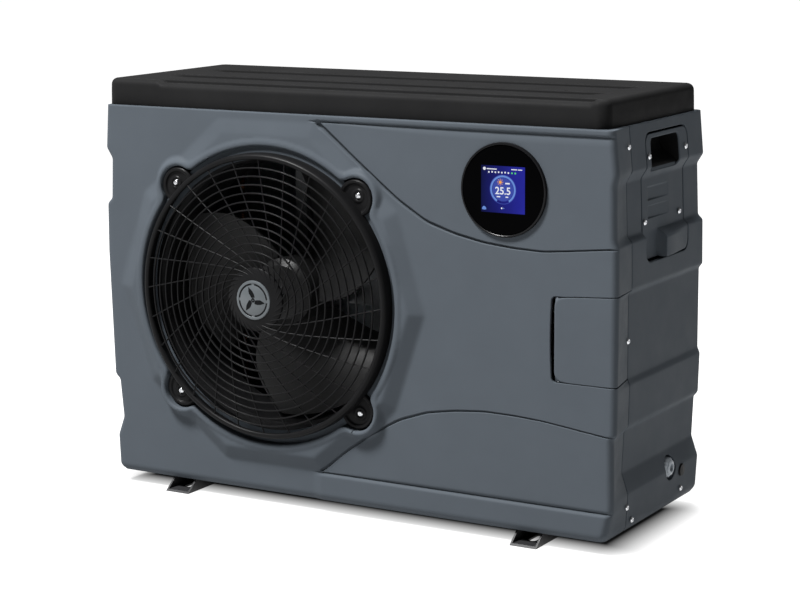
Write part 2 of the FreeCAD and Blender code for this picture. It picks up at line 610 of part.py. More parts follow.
# ---- fan and motor ------------------------------------------------------
def blade_section(distance, chord, pitch, sweep, camber):
    """Thin cambered profile across a blade, in a plane beside the fan's axis."""
    tilt = math.radians(pitch)

    def point(along, out):
        x = along * math.cos(tilt) - out * math.sin(tilt)
        y = along * math.sin(tilt) + out * math.cos(tilt)
        return V(x, y, distance)

    half, skin = chord / 2, BLADE_T / 2
    front = Part.Arc(point(-half, -skin), point(0, -skin - camber), point(half, -skin))
    back = Part.Arc(point(half, skin), point(0, skin - camber), point(-half, skin))
    edges = [front, Part.LineSegment(point(half, -skin), point(half, skin)),
             back, Part.LineSegment(point(-half, skin), point(-half, -skin))]
    section = Part.Wire([edge.toShape() for edge in edges])
    section.rotate(V(0, 0, 0), Y_AXIS, sweep)
    return section


def make_impeller():
    blades = []
    ring = fan_disc(FAN_R, -152, -44).cut(fan_disc(HUB_R - 4, -160, -30))
    for index in range(3):
        blade = Part.makeLoft([blade_section(*section) for section in BLADE_SECTIONS], True, False)
        blade.translate(V(FAN_X, FAN_MID_Y, FAN_Z))
        blade.rotate(V(FAN_X, 0, FAN_Z), Y_AXIS, 120 * index)
        blades.append(blade.common(ring))
    hub = turned([(0, -142), (HUB_R - 10, -142), (HUB_R, -134), (HUB_R, -58), (HUB_R - 4, -58),
                  (HUB_R - 4, -130), (14, -130), (14, -70), (0, -70)], (FAN_X, 0, FAN_Z), Y_AXIS)
    webs = [box(FAN_X + 12, FAN_X + HUB_R - 3, -131, -90, FAN_Z - 1.5, FAN_Z + 1.5) for _ in range(6)]
    for index, web in enumerate(webs):
        web.rotate(V(FAN_X, 0, FAN_Z), Y_AXIS, 60 * index)
    return union([hub] + blades + webs).cut(fan_disc(SHAFT_R, -160, -30)).removeSplitter()


def make_fan_shroud():
    """Orifice ring: a flange behind the front shell's duct and a short barrel around the fan."""
    return turned([(OPENING_R + 12, DUCT_Y), (OPENING_R + 12, DUCT_Y + 3), (228, DUCT_Y + 3),
                   (222, DUCT_Y + 6), (219, DUCT_Y + 12), (219, -62), (216, -62),
                   (216, DUCT_Y + 11), (220, DUCT_Y + 4), (227, DUCT_Y)], (FAN_X, 0, FAN_Z), Y_AXIS)


def make_fan_motor():
    front, back = MOTOR_Y
    can = turned([(0, front - 6), (18, front - 6), (18, front), (MOTOR_R - 6, front), (MOTOR_R, front + 6),
                  (MOTOR_R, back - 4), (MOTOR_R - 4, back), (0, back)], (FAN_X, 0, FAN_Z), Y_AXIS)
    return can.cut(fan_disc(SHAFT_R + RUN_CLEARANCE, front - 10, -2))


def make_motor_bracket():
    """Two upright channels joined by a plate that carries the motor."""
    back = MOTOR_Y[1]
    channels = []
    for x in (FAN_X - 75, FAN_X + 75):
        post = box(x - 11, x + 11, back + 2, back + 16, FOOT_H + 2, FOOT_H + 610)
        channels.append(post.cut(box(x - 9, x + 9, back + 4, back + 20, FOOT_H, FOOT_H + 620)))
    plate = box(FAN_X - 86, FAN_X + 86, back, back + 2, FAN_Z - 46, FAN_Z + 46)
    for dx, dz in MOTOR_BOLTS:
        plate = plate.cut(rod(2.5, (FAN_X + dx, back - 5, FAN_Z + dz), (FAN_X + dx, back + 5, FAN_Z + dz)))
    return union([plate] + channels)


# ---- feet and base pan --------------------------------------------------
def make_foot_rail(side):
    """Steel channel with in-turned lips, its side webs sloping down to the ends."""
    x = side * RAIL_X
    half = RAIL_W / 2
    web_profile = [V(x - half, -RAIL_HALF_L, 0), V(x - half, RAIL_HALF_L, 0),
                   V(x - half, RAIL_HALF_L - 28, FOOT_H), V(x - half, 28 - RAIL_HALF_L, FOOT_H)]
    block = Part.Face(Part.makePolygon(web_profile + web_profile[:1])).extrude(V(RAIL_W, 0, 0))
    core = box(x - half + RAIL_T, x + half - RAIL_T, -RAIL_HALF_L - 5, RAIL_HALF_L + 5,
               RAIL_T, FOOT_H - RAIL_T)
    mouth = box(x - 6, x + 6, -RAIL_HALF_L - 5, RAIL_HALF_L + 5, RAIL_T, FOOT_H + 1)
    rail = block.cut([core, mouth])
    slot = ANCHOR_SLOT / 2 - ANCHOR_R
    for y in (-ANCHOR_Y, ANCHOR_Y):
        cutter = box(x - ANCHOR_R, x + ANCHOR_R, y - slot, y + slot, -1, RAIL_T + 1)
        ends = [rod(ANCHOR_R, (x, y + end, -1), (x, y + end, RAIL_T + 1)) for end in (-slot, slot)]
        rail = rail.cut([cutter] + ends)
    lips = [rod(4.0, (bolt_x, y, RAIL_T + 1), (bolt_x, y, FOOT_H + 1)) for bolt_x, y in RAIL_BOLTS
            if bolt_x * side > 0]
    return rail.cut(lips)


def make_base_pan():
    half_x, half_y = PAN_HALF
    tray = Part.Face(outline(-half_x, half_x, -half_y, half_y, FOOT_H, 24)).extrude(V(0, 0, PAN_RIM))
    inside = outline(PAN_T - half_x, half_x - PAN_T, PAN_T - half_y, half_y - PAN_T, FOOT_H + PAN_T, 22)
    pan = tray.cut(Part.Face(inside).extrude(V(0, 0, PAN_RIM)))
    holes = [rod(4.0, (x, y, FOOT_H - 1), (x, y, FOOT_H + 3)) for x, y in RAIL_BOLTS]
    holes.append(rod(10.0, (*DRAIN, FOOT_H - 1), (*DRAIN, FOOT_H + 3)))
    for side in (-1, 1):
        holes += side_holes(side, FOOT_SCREWS, SCREW_R)
    return pan.cut(holes)


def make_rail_bolts():
    bolts = []
    for x, y in RAIL_BOLTS:
        head = ngon(6, 6.5, (x, y, FOOT_H + 2), Z_AXIS, 5)
        shank = rod(4.0, (x, y, FOOT_H - 8), (x, y, FOOT_H + 2))
        nut = ngon(6, 6.5, (x, y, FOOT_H - RAIL_T - 5), Z_AXIS, 5)
        bolts.append(union([head, shank, nut]))
    return group(bolts)


def make_drain_spout():
    x, y = DRAIN
    return turned([(10, 3), (10, 0), (16, 0), (16, -2.5), (9, -2.5), (9, -16), (7, -16), (7, 3)],
                  (x, y, FOOT_H), Z_AXIS)


# ---- display ------------------------------------------------------------
def make_display_bezel():
    return turned([(57, FRONT_Y + 24), (60, FRONT_Y + 24), (60, FRONT_Y), (DISPLAY_R, FRONT_Y),
                   (DISPLAY_R, FRONT_Y - 3), (DISPLAY_R - 1.5, FRONT_Y - 4.6), (69, FRONT_Y - 4.6),
                   (69, FRONT_Y - 1.2), (57, FRONT_Y - 1.2)], (DISPLAY_X, 0, DISPLAY_Z), Y_AXIS)


def make_display_glass():
    return turned([(0, FRONT_Y - 1.2), (68.8, FRONT_Y - 1.2), (68.8, FRONT_Y - 3.4), (68, FRONT_Y - 4),
                   (0, FRONT_Y - 4)], (DISPLAY_X, 0, DISPLAY_Z), Y_AXIS)


def make_display_screen():
    return box(DISPLAY_X - 38, DISPLAY_X + 38, FRONT_Y - 1.1, FRONT_Y + 5, DISPLAY_Z - 36, DISPLAY_Z + 38)


def make_display_housing():
    foot = (DISPLAY_X, 0, DISPLAY_Z)
    cup = turned([(0, FRONT_Y + 32), (66, FRONT_Y + 32), (66, FRONT_Y + WALL), (62, FRONT_Y + WALL),
                  (62, FRONT_Y + 29), (0, FRONT_Y + 29)], foot, Y_AXIS)
    return cup.fuse(turned([(0, FRONT_Y + 32), (9, FRONT_Y + 32), (7, FRONT_Y + 40), (0, FRONT_Y + 40)],
                           foot, Y_AXIS)).removeSplitter()


# ---- water side ---------------------------------------------------------
def make_vessel():
    x, y = VESSEL
    low, high = FOOT_H + 48, VESSEL_TOP
    outer = turned([(0, low), (58, low), (VESSEL_R, low + 14), (VESSEL_R, high - 14), (58, high), (0, high)],
                   (x, y, 0), Z_AXIS)
    inner = turned([(0, low + 5), (56, low + 5), (VESSEL_R - 5, low + 17), (VESSEL_R - 5, high - 17),
                    (56, high - 5), (0, high - 5)], (x, y, 0), Z_AXIS)
    stubs = [rod(26.0, (x, y + 50, z), (x, y + 100, z)) for z in WATER_Z.values()]
    return outer.cut([inner] + stubs)


def make_vessel_stand():
    """Sheet-steel ring stand that lifts the vessel off the base pan."""
    x, y = VESSEL
    return turned([(56, FOOT_H + 2), (74, FOOT_H + 2), (74, FOOT_H + 4), (60, FOOT_H + 4), (60, FOOT_H + 46),
                   (64, FOOT_H + 48), (50, FOOT_H + 48), (56, FOOT_H + 46)], (x, y, 0), Z_AXIS)


def make_titanium_coil():
    x, y = VESSEL
    turns = [Part.makeTorus(48, 6, V(x, y, FOOT_H + 80 + 25 * index), Z_AXIS) for index in range(11)]
    riser = rod(4.5, (x - 46, y, FOOT_H + 80), (x - 46, y, FOOT_H + 330))
    return union(turns + [riser])


def make_water_fitting(z):
    """Threaded tail through the rear panel, with its flange inside and a bore right through."""
    return turned([(22, 132), (26, 132), (26, 160), (39, 160), (39, BACK_Y - WALL), (33, BACK_Y - WALL),
                   (33, 196), (22, 196)], (VESSEL[0], 0, z), Y_AXIS)


def make_union_seal(z):
    return turned([(26, 196), (30, 196), (30, 199), (26, 199)], (VESSEL[0], 0, z), Y_AXIS)


def make_union_tail(z):
    """Solvent-weld socket for a 50 mm water pipe."""
    return turned([(22, 199), (32.5, 199), (32.5, 204), (30, 204), (30, 228), (PIPE_BORE_R, 228),
                   (PIPE_BORE_R, 203), (22, 203)], (VESSEL[0], 0, z), Y_AXIS)


def make_union_nut(z):
    """Union nut that turns freely on the thread and behind the socket's flange."""
    bore = 33 + RUN_CLEARANCE
    lip = 30 + RUN_CLEARANCE
    ring = turned([(bore, 182), (41, 182), (41, 208), (39, 210), (lip, 210), (lip, 204.4), (bore, 204.4)],
                  (VESSEL[0], 0, z), Y_AXIS)
    ribs = []
    for index in range(8):
        rib = box(VESSEL[0] + 39.5, VESSEL[0] + 44.5, 183, 207, z - 4, z + 4)
        rib.rotate(V(VESSEL[0], 0, z), Y_AXIS, 45 * index)
        ribs.append(rib)
    return union([ring] + ribs)


# ---- refrigerant side ---------------------------------------------------
def make_compressor():
    x, y = COMPRESSOR
    low = FOOT_H + 32
    can = turned([(0, low), (44, low), (COMPRESSOR_R, low + 14), (COMPRESSOR_R, low + 200), (50, low + 220),
                  (30, low + 228), (0, low + 230)], (x, y, 0), Z_AXIS)
    foot = ngon(3, 104, (x, y, low - 4), Z_AXIS, 4).common(rod(86, (x, y, low - 4), (x, y, low)))
    feet = [rod(6.0, (*place, low - 10), (*place, low + 10)) for place in compressor_feet()]
    return union([can, foot.cut(feet)])


def compressor_feet():
    x, y = COMPRESSOR
    return [(x + 76 * math.cos(math.radians(a)), y + 76 * math.sin(math.radians(a))) for a in (0, 120, 240)]


def make_compressor_grommets():
    low = FOOT_H + 2
    return group([turned([(3, low), (11, low), (11, low + 26), (6, low + 26), (6, low + 30), (10, low + 30),
                          (10, low + 34), (3, low + 34)], (*place, 0), Z_AXIS)
                  for place in compressor_feet()])


def make_accumulator():
    x, y = ACCUMULATOR
    low = FOOT_H + 110
    return turned([(0, low), (18, low), (26, low + 12), (26, low + 138), (18, low + 150), (0, low + 150)],
                  (x, y, 0), Z_AXIS)


def make_terminal_cap():
    x, y = COMPRESSOR
    cap = rounded_box((x - 72, x - 50, y - 20, y + 20, FOOT_H + 150, FOOT_H + 210), 5.0, X_AXIS)
    return cap.cut(rod(COMPRESSOR_R + 0.2, (x, y, FOOT_H), (x, y, FOOT_H + 300)))


def make_reversing_valve():
    x, y, z = VALVE
    body = rod(13.0, (x, y - 55, z), (x, y + 55, z))
    stubs = [rod(6.5, (x + 10, y, z), (x + 32, y, z))]
    stubs += [rod(6.5, (x - 10, y + dy, z), (x - 32, y + dy, z)) for dy in (-26, 0, 26)]
    return union([body] + stubs)


def make_reversing_coil():
    x, y, z = VALVE
    return rounded_box((x - 14, x + 14, y - 18, y + 18, z + 13.2, z + 44), 4.0, Z_AXIS)


def make_refrigerant_pipes():
    """The copper pipes of the circuit, each a separate bent pipe."""
    x, y, z = VALVE
    cx, cy = COMPRESSOR
    ax, ay = ACCUMULATOR
    tx, ty, tz = THROTTLE
    can_top = FOOT_H + 262
    coil_end = COIL_X[1] + 2
    row = (COIL_Z[1] - COIL_Z[0]) / COIL_ROWS
    low, high = COIL_Z[0] + row / 2, COIL_Z[1] - row / 2
    coil_y = COIL_TUBE_Y
    discharge = pipe([(cx, cy, can_top), (cx, cy, z - 30), (x + 60, y, z - 30), (x + 60, y, z),
                      (x + 32, y, z)], 5.0, 12.0)
    suction = pipe([(ax, ay, FOOT_H + 260), (ax, ay, z + 50), (x - 60, ay, z + 50), (x - 60, y, z + 50),
                    (x - 60, y, z), (x - 32, y, z)], 6.0, 16.0)
    into_can = pipe([(ax, ay, FOOT_H + 110), (ax, ay, FOOT_H + 70), (ax, cy + 10, FOOT_H + 70),
                     (cx + COMPRESSOR_R - 0.5, cy + 10, FOOT_H + 70)], 6.0, 14.0)
    coil_gas = pipe([(x - 32, y - 26, z), (x - 90, y - 26, z), (x - 90, y - 26, z + 45),
                     (x - 90, coil_y, z + 45), (coil_end + 26, coil_y, z + 45), (coil_end + 26, coil_y, high),
                     (coil_end, coil_y, high)], 5.0, 12.0)
    vessel_gas = pipe([(x - 32, y + 26, z), (x - 64, y + 26, z), (x - 64, y + 26, VESSEL_TOP)], 5.0, 12.0)
    coil_liquid = pipe([(tx, ty, tz), (tx, ty, low), (coil_end + 28, ty, low), (coil_end + 28, coil_y, low),
                        (coil_end, coil_y, low)], 4.0, 10.0)
    vessel_liquid = pipe([(190, 60, VESSEL_TOP), (190, 60, z + 13), (190, ty - 50, z + 13),
                          (tx, ty - 50, z + 13), (tx, ty - 50, tz + 50), (tx, ty - 30, tz + 50)], 4.0, 8.0)
    return group([discharge, suction, into_can, coil_gas, vessel_gas, coil_liquid, vessel_liquid])


def make_expansion_valve():
    x, y, z = THROTTLE
    body = rod(11.0, (x, y, z + 25), (x, y, z + 75))
    stubs = [rod(4.0, (x, y, z), (x, y, z + 27)), rod(4.0, (x, y - 30, z + 50), (x, y - 5, z + 50))]
    return union([body] + stubs)


def make_expansion_coil():
    return turned([(0, 75.2), (18, 75.2), (20, 78), (20, 105), (16, 109), (0, 109)], THROTTLE, Z_AXIS)


def make_evaporator_fins():
    """Upright aluminium fins, held together by a strip at the top and the bottom."""
    x0, x1 = COIL_X
    count = int((x1 - x0 - FIN_T) / FIN_PITCH)
    gap = FIN_PITCH - FIN_T
    slots = [box(x0 + FIN_T + FIN_PITCH * i, x0 + FIN_T + FIN_PITCH * i + gap, COIL_Y[0] - 1, COIL_Y[1] + 1,
                 COIL_Z[0] + 3, COIL_Z[1] - 3) for i in range(count)]
    return box(*COIL_X, *COIL_Y, *COIL_Z).cut(slots)


def make_evaporator_tubes():
    """Return bends at both ends of the coil, where each tube turns into the next row."""
    bends = []
    pitch = (COIL_Z[1] - COIL_Z[0]) / COIL_ROWS
    for side, x in ((-1, COIL_X[0] - 2.5), (1, COIL_X[1] + 2.5)):
        for y in (COIL_Y[0] + 10, COIL_Y[1] - 10):
            for index in range(9 if side > 0 else 10):
                z = COIL_Z[0] + pitch * (2 * index + (1.0 if side < 0 else 2.0))
                bend = Part.makeTorus(pitch / 2, 4.8, V(x, y, z), Y_AXIS)
                keep = box(*sorted((x, x + side * 40)), y - 10, y + 10, z - 30, z + 30)
                bends.append(bend.common(keep))
    return group(bends)


def make_evaporator_end_plates():
    plates = []
    for side, x in ((-1, COIL_X[0]), (1, COIL_X[1])):
        plates.append(box(*sorted((x, x + side * 1.5)), COIL_Y[0] - 4, COIL_Y[1] + 0.5,
                          COIL_Z[0] - 10, COIL_Z[1]))
    return group(plates)


# ---- electrics ----------------------------------------------------------
def make_electrical_tray():
    x0, x1 = TRAY_X
    y0, y1 = TRAY_Y
    z0, z1 = TRAY_Z
    tray = box(x0, x1, y0, y1, z0, z1).cut(box(x0 + 1.5, x1 - 1.5, y0 + 1.5, y1 - 1.5, z0 + 1.5, z1 + 1))
    return tray.cut(rod(12.0, (x1 - 40, y0 + 40, z0 - 2), (x1 - 40, y0 + 40, z0 + 4)))


def make_electrical_lid():
    lid = box(TRAY_X[0] - 2, TRAY_X[1] + 2, TRAY_Y[0] - 2, TRAY_Y[1] + 2, TRAY_Z[1] - 10, TRAY_Z[1] + 1.5)
    return lid.cut(box(TRAY_X[0] - 0.5, TRAY_X[1] + 0.5, TRAY_Y[0] - 0.5, TRAY_Y[1] + 0.5,
                       TRAY_Z[1] - 12, TRAY_Z[1]))


def make_control_board():
    z = TRAY_Z[0] + 12
    return box(TRAY_X[0] + 15, TRAY_X[1] - 15, TRAY_Y[0] + 15, TRAY_Y[1] - 15, z, z + 2)


def make_board_parts():
    """Capacitors, a finned heat sink, a relay row and a transformer standing on the board."""
    z = TRAY_Z[0] + 14
    x, y = TRAY_X[0] + 30, TRAY_Y[0] + 30
    cans = [rod(14.0, (x + 20 + 34 * i, y + 25, z), (x + 20 + 34 * i, y + 25, z + 45)) for i in range(3)]
    relays = [box(x + 130 + 22 * i, x + 148 + 22 * i, y, y + 28, z, z + 18) for i in range(3)]
    sink = box(x, x + 110, y + 90, y + 170, z, z + 50)
    for index in range(9):
        slot_x = x + 7 + 11.5 * index
        sink = sink.cut(box(slot_x, slot_x + 7, y + 85, y + 175, z + 12, z + 60))
    transformer = rounded_box((x + 135, x + 190, y + 100, y + 150, z, z + 40), 4.0, Z_AXIS)
    return group(cans + relays + [sink, transformer])


def make_terminal_block():
    """Supply terminals behind the corner door, on a plate fixed to the side flange."""
    base = box(388, 440, -140, -128, FOOT_H + 262, FOOT_H + 352)
    slots = [box(386, 428, -142, -134, FOOT_H + 268 + 16 * i, FOOT_H + 278 + 16 * i) for i in range(5)]
    return base.cut(slots)


def make_gland():
    """Cable gland body: a threaded sleeve through the well's floor, with a hexagon collar."""
    sleeve = tube(9.9, GLAND_BORE_R, (430, GLAND_Y, GLAND_Z), (462, GLAND_Y, GLAND_Z))
    collar = ngon(6, 15.0, (WELL_FLOOR_X, GLAND_Y, GLAND_Z), X_AXIS, 4)
    return union([sleeve, collar.cut(rod(9.0, (440, GLAND_Y, GLAND_Z), (452, GLAND_Y, GLAND_Z)))])


def make_gland_locknut():
    nut = ngon(6, 15.0, (WELL_FLOOR_X - 9, GLAND_Y, GLAND_Z), X_AXIS, 6)
    return nut.cut(rod(9.9, (420, GLAND_Y, GLAND_Z), (460, GLAND_Y, GLAND_Z)))


def make_gland_dome():
    """Knurled dome nut on the gland, with the cable hole through its nose."""
    dome = turned([(9.9, 448.2), (16, 448.2), (16, 460), (14, 465), (10, 467.5), (GLAND_BORE_R, 468),
                   (GLAND_BORE_R, 462), (9.9, 462)], (0, GLAND_Y, GLAND_Z), X_AXIS)
    flutes = []
    for index in range(18):
        angle = 2 * math.pi * index / 18
        y, z = GLAND_Y + 17 * math.cos(angle), GLAND_Z + 17 * math.sin(angle)
        flutes.append(rod(1.6, (447, y, z), (461, y, z)))
    return dome.cut(flutes)


def make_blank_plug():
    face = side_x(1, PLUG_WALL_Z) + 0.1
    return turned([(0, face - 10), (8, face - 10), (8, face), (10.5, face), (9, face + 2.2), (0, face + 2.8)],
                  (0, PLUG_Y, PLUG_Z), X_AXIS)


# ---- screws -------------------------------------------------------------
def side_screws(side, places, length):
    return [screw((side_x(side, z, y) + side * SCREW_SEAT, y, z), (-side, 0, 0), length) for y, z in places]


def make_casing_screws():
    """Every self-tapping screw of the casing: seams, foot, handle cover and rear panel."""
    screws = side_screws(1, SEAM_SCREWS + HANDLE_SCREWS, 12)
    screws += side_screws(-1, SEAM_SCREWS + [MID_SCREW], 12)
    screws += side_screws(1, FOOT_SCREWS, 20) + side_screws(-1, FOOT_SCREWS, 20)
    return group(screws + [screw((x, BACK_Y, z), (0, -1, 0), 12) for x, z in REAR_SCREWS])


def main():
    os.makedirs("parts", exist_ok=True)
    hinge_pin = rod(HINGE_R, (HINGE_X, HINGE_Y, DOOR_Z[0] - 8), (HINGE_X, HINGE_Y, DOOR_Z[1] + 8))
    nodes = {
        "front_panel": make_front_panel(),
        "right_side_panel": make_right_side_panel(),
        "left_side_panel": make_left_side_panel(),
        "rear_panel": make_rear_panel(),
        "rear_grille": make_rear_grille(),
        "top_cover": make_top_cover(),
        "base_pan": make_base_pan(),
        "left_foot_rail": make_foot_rail(-1),
        "right_foot_rail": make_foot_rail(1),
        "foot_rail_bolts": make_rail_bolts(),
        "drain_spout": make_drain_spout(),
        "fan_guard": make_fan_guard(),
        "guard_badge": make_guard_badge(),
        "guard_screws": group([screw(fan_point(EAR_SCREW_R, angle, FRONT_Y - 5), (0, 1, 0), 11)
                               for angle in EAR_ANGLES]),
        "fan_shroud": make_fan_shroud(),
        "impeller": make_impeller(),
        "fan_shaft": rod(SHAFT_R, (FAN_X, -148, FAN_Z), (FAN_X, -3, FAN_Z)),
        "impeller_nut": ngon(6, 10.0, (FAN_X, -150, FAN_Z), Y_AXIS, 8).cut(fan_disc(SHAFT_R, -148, -130)),
        "fan_motor": make_fan_motor(),
        "motor_bracket": make_motor_bracket(),
        "motor_screws": group([screw((FAN_X + dx, MOTOR_Y[1] + 2, FAN_Z + dz), (0, -1, 0), 2, shank_r=2.5)
                               for dx, dz in MOTOR_BOLTS]),
        "evaporator_fins": make_evaporator_fins(),
        "evaporator_end_plates": make_evaporator_end_plates(),
        "evaporator_tubes": make_evaporator_tubes(),
        "partition_plate": box(128, 129.5, -150, 118, FOOT_H + 2, FOOT_H + 605),
        "display_bezel": make_display_bezel(),
        "display_glass": make_display_glass(),
        "display_screen": make_display_screen(),
        "display_housing": make_display_housing(),
        "access_door": make_door(),
        "door_hinge_pin": hinge_pin,
        "door_screw": group(side_screws(1, [MID_SCREW], WALL)),
        "handle_cover": make_handle_cover(),
        "casing_screws": make_casing_screws(),
        "cable_gland": make_gland(),
        "gland_locknut": make_gland_locknut(),
        "gland_dome_nut": make_gland_dome(),
        "blank_plug": make_blank_plug(),
        "water_vessel": make_vessel(),
        "vessel_stand": make_vessel_stand(),
        "titanium_coil": make_titanium_coil(),
        "water_fittings": group([make_water_fitting(z) for z in WATER_Z.values()]),
        "water_union_seals": group([make_union_seal(z) for z in WATER_Z.values()]),
        "water_sockets": group([make_union_tail(z) for z in WATER_Z.values()]),
        "compressor": make_compressor(),
        "compressor_grommets": make_compressor_grommets(),
        "compressor_terminal_cap": make_terminal_cap(),
        "accumulator": make_accumulator(),
        "reversing_valve": make_reversing_valve(),
        "reversing_valve_coil": make_reversing_coil(),
        "expansion_valve": make_expansion_valve(),
        "expansion_valve_coil": make_expansion_coil(),
        "refrigerant_pipes": make_refrigerant_pipes(),
        "electrical_tray": make_electrical_tray(),
        "electrical_lid": make_electrical_lid(),
        "control_board": make_control_board(),
        "board_components": make_board_parts(),
        "terminal_block": make_terminal_block(),
    }
    for name, z in WATER_Z.items():
        nodes["water_" + name + "_union_nut"] = make_union_nut(z)
    for node, shape in nodes.items():
        save(node, shape)


main()
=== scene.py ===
import json
import math

import bpy
import numpy as np
from mathutils import Matrix, Vector


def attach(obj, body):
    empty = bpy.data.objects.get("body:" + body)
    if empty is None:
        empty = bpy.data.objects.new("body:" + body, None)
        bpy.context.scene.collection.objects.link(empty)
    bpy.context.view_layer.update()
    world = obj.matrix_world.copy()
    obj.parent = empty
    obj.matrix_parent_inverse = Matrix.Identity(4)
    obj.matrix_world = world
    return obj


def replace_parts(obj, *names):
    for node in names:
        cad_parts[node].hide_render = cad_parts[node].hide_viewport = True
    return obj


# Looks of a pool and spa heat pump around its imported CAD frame. Lengths are millimetres
# unless a comment says otherwise, and become metres in make_mesh(). A "height" is measured
# from the casing's foot, which stands FOOT_H above the ground.

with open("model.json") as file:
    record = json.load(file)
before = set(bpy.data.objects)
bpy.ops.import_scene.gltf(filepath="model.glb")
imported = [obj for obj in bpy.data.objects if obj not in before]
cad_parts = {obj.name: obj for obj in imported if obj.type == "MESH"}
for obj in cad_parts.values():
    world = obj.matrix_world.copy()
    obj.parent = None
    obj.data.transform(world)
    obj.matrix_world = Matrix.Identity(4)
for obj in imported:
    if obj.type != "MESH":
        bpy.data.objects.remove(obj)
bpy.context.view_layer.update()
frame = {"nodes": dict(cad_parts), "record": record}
nodes = frame["nodes"]

MM = 0.001
FOOT_H = 22.0
CASE_H = 624.0
HALF_W = 460.0
HALF_D = 176.0
CORNER_R = 10.0
ARC = CORNER_R * math.pi / 2
FLAT_X = 405.0                     # columns keep their x up to here on the front
ARC_START = HALF_W - CORNER_R
SIDE_START = ARC_START + ARC
SIDE_END = SIDE_START + 2 * (HALF_D - CORNER_R)
BACK_START = SIDE_END + ARC
SEAM_Y = -105.0
SEAM_GAP = 1.8
REAR_JOINT_X = 394.3
BACK_RUN = ARC_START - REAR_JOINT_X
WALL = 4.0

RIGHT_BANDS = [(0, -6), (4, -2), (10, 0), (60, 3), (92, -8), (158, -5), (166, 2), (231, 4),
               (240, 0), (371, 0), (378, 6), (450, 5), (457, -3), (540, -6), (556, 4), (CASE_H, -2)]
LEFT_BANDS = [(0, -8), (4, -4), (10, -2), (60, 0), (92, -12), (158, -6), (166, 3), (378, 9),
              (458, 8), (467, -1), (535, -4), (552, 7), (CASE_H, 2)]
CORNER_BANDS = [(0, -6), (4, -3), (10, 0), (46, 8), (60, 8.5), (158, 7), (166, 12), (378, 13),
                (450, 12.5), (459, 9), (540, 8), (557, 12), (CASE_H, 5)]
SILL_BANDS = [(0, -6), (4, -2), (10, 0), (CASE_H, 0)]
BAND_SOFT = 2.4                    # half the width over which band corners are rounded

FAN_X = -143.0
FAN_H = 328.0
FAN_Z = FOOT_H + FAN_H
DISPLAY = (286.0, 527.0)
SCREEN_W = 74.0
DOOR = (370.0, 240.5, 373.5)
HANDLE_Y = (-49.0, 107.0)
HANDLE_H = (413.0, 606.0)
RECESS_Y = (-32.0, 75.0)
RECESS_H = (549.0, 599.0)
RECESS_PAINTED_SHADE = 6.0                 # depth beyond which the recess's faces take black plastic: painted shade
HANDLE_GAP = 3.2
HANDLE_MARKS = [(503.0, 524.0), (475.0, 495.0)]
HOOD_PROFILE = [(405, 13.0), (443, 13.0), (447, 11.0), (457, -3.0), (462, -3.3)]
HINGE = (375.5, -170.0)
GLAND = (62.0, 63.0)
WELL_R = 20.0                      # round well of the side panel, where the gland stands
WELL_FLOOR_X = 444.0


# ---- materials ----------------------------------------------------------
MATERIALS = {}


def new_nodes(name):
    material = bpy.data.materials.new(name)
    material.use_nodes = True
    tree = material.node_tree
    tree.nodes.clear()
    output = tree.nodes.new("ShaderNodeOutputMaterial")
    shader = tree.nodes.new("ShaderNodeBsdfPrincipled")
    tree.links.new(shader.outputs[0], output.inputs[0])
    MATERIALS[name] = material
    return tree, shader


def set_inputs(node, values):
    for name, value in values.items():
        node.inputs[name].default_value = value


def noise(tree, scale, detail=3.0, rough=0.55):
    coords = tree.nodes.new("ShaderNodeTexCoord")
    texture = tree.nodes.new("ShaderNodeTexNoise")
    set_inputs(texture, {"Scale": scale, "Detail": detail, "Roughness": rough})
    tree.links.new(coords.outputs["Object"], texture.inputs["Vector"])
    return texture.outputs["Fac"]


def ramp(tree, value, low, high, from_min=0.3, from_max=0.7):
    """Map a texture's value to the range low..high."""
    node = tree.nodes.new("ShaderNodeMapRange")
    set_inputs(node, {"From Min": from_min, "From Max": from_max, "To Min": low, "To Max": high})
    tree.links.new(value, node.inputs["Value"])
    return node.outputs[0]


def mix_colour(tree, factor, first, second, blend="MIX"):
    node = tree.nodes.new("ShaderNodeMix")
    node.data_type = "RGBA"
    node.blend_type = blend
    for socket, value in ((node.inputs[0], factor), (node.inputs[6], first), (node.inputs[7], second)):
        if isinstance(value, bpy.types.NodeSocket):
            tree.links.new(value, socket)
        elif isinstance(value, tuple):
            socket.default_value = (*value, 1.0)
        else:
            socket.default_value = value
    return node.outputs[2]


def tint(colour, factor):
    return tuple(min(1.0, channel * factor) for channel in colour)


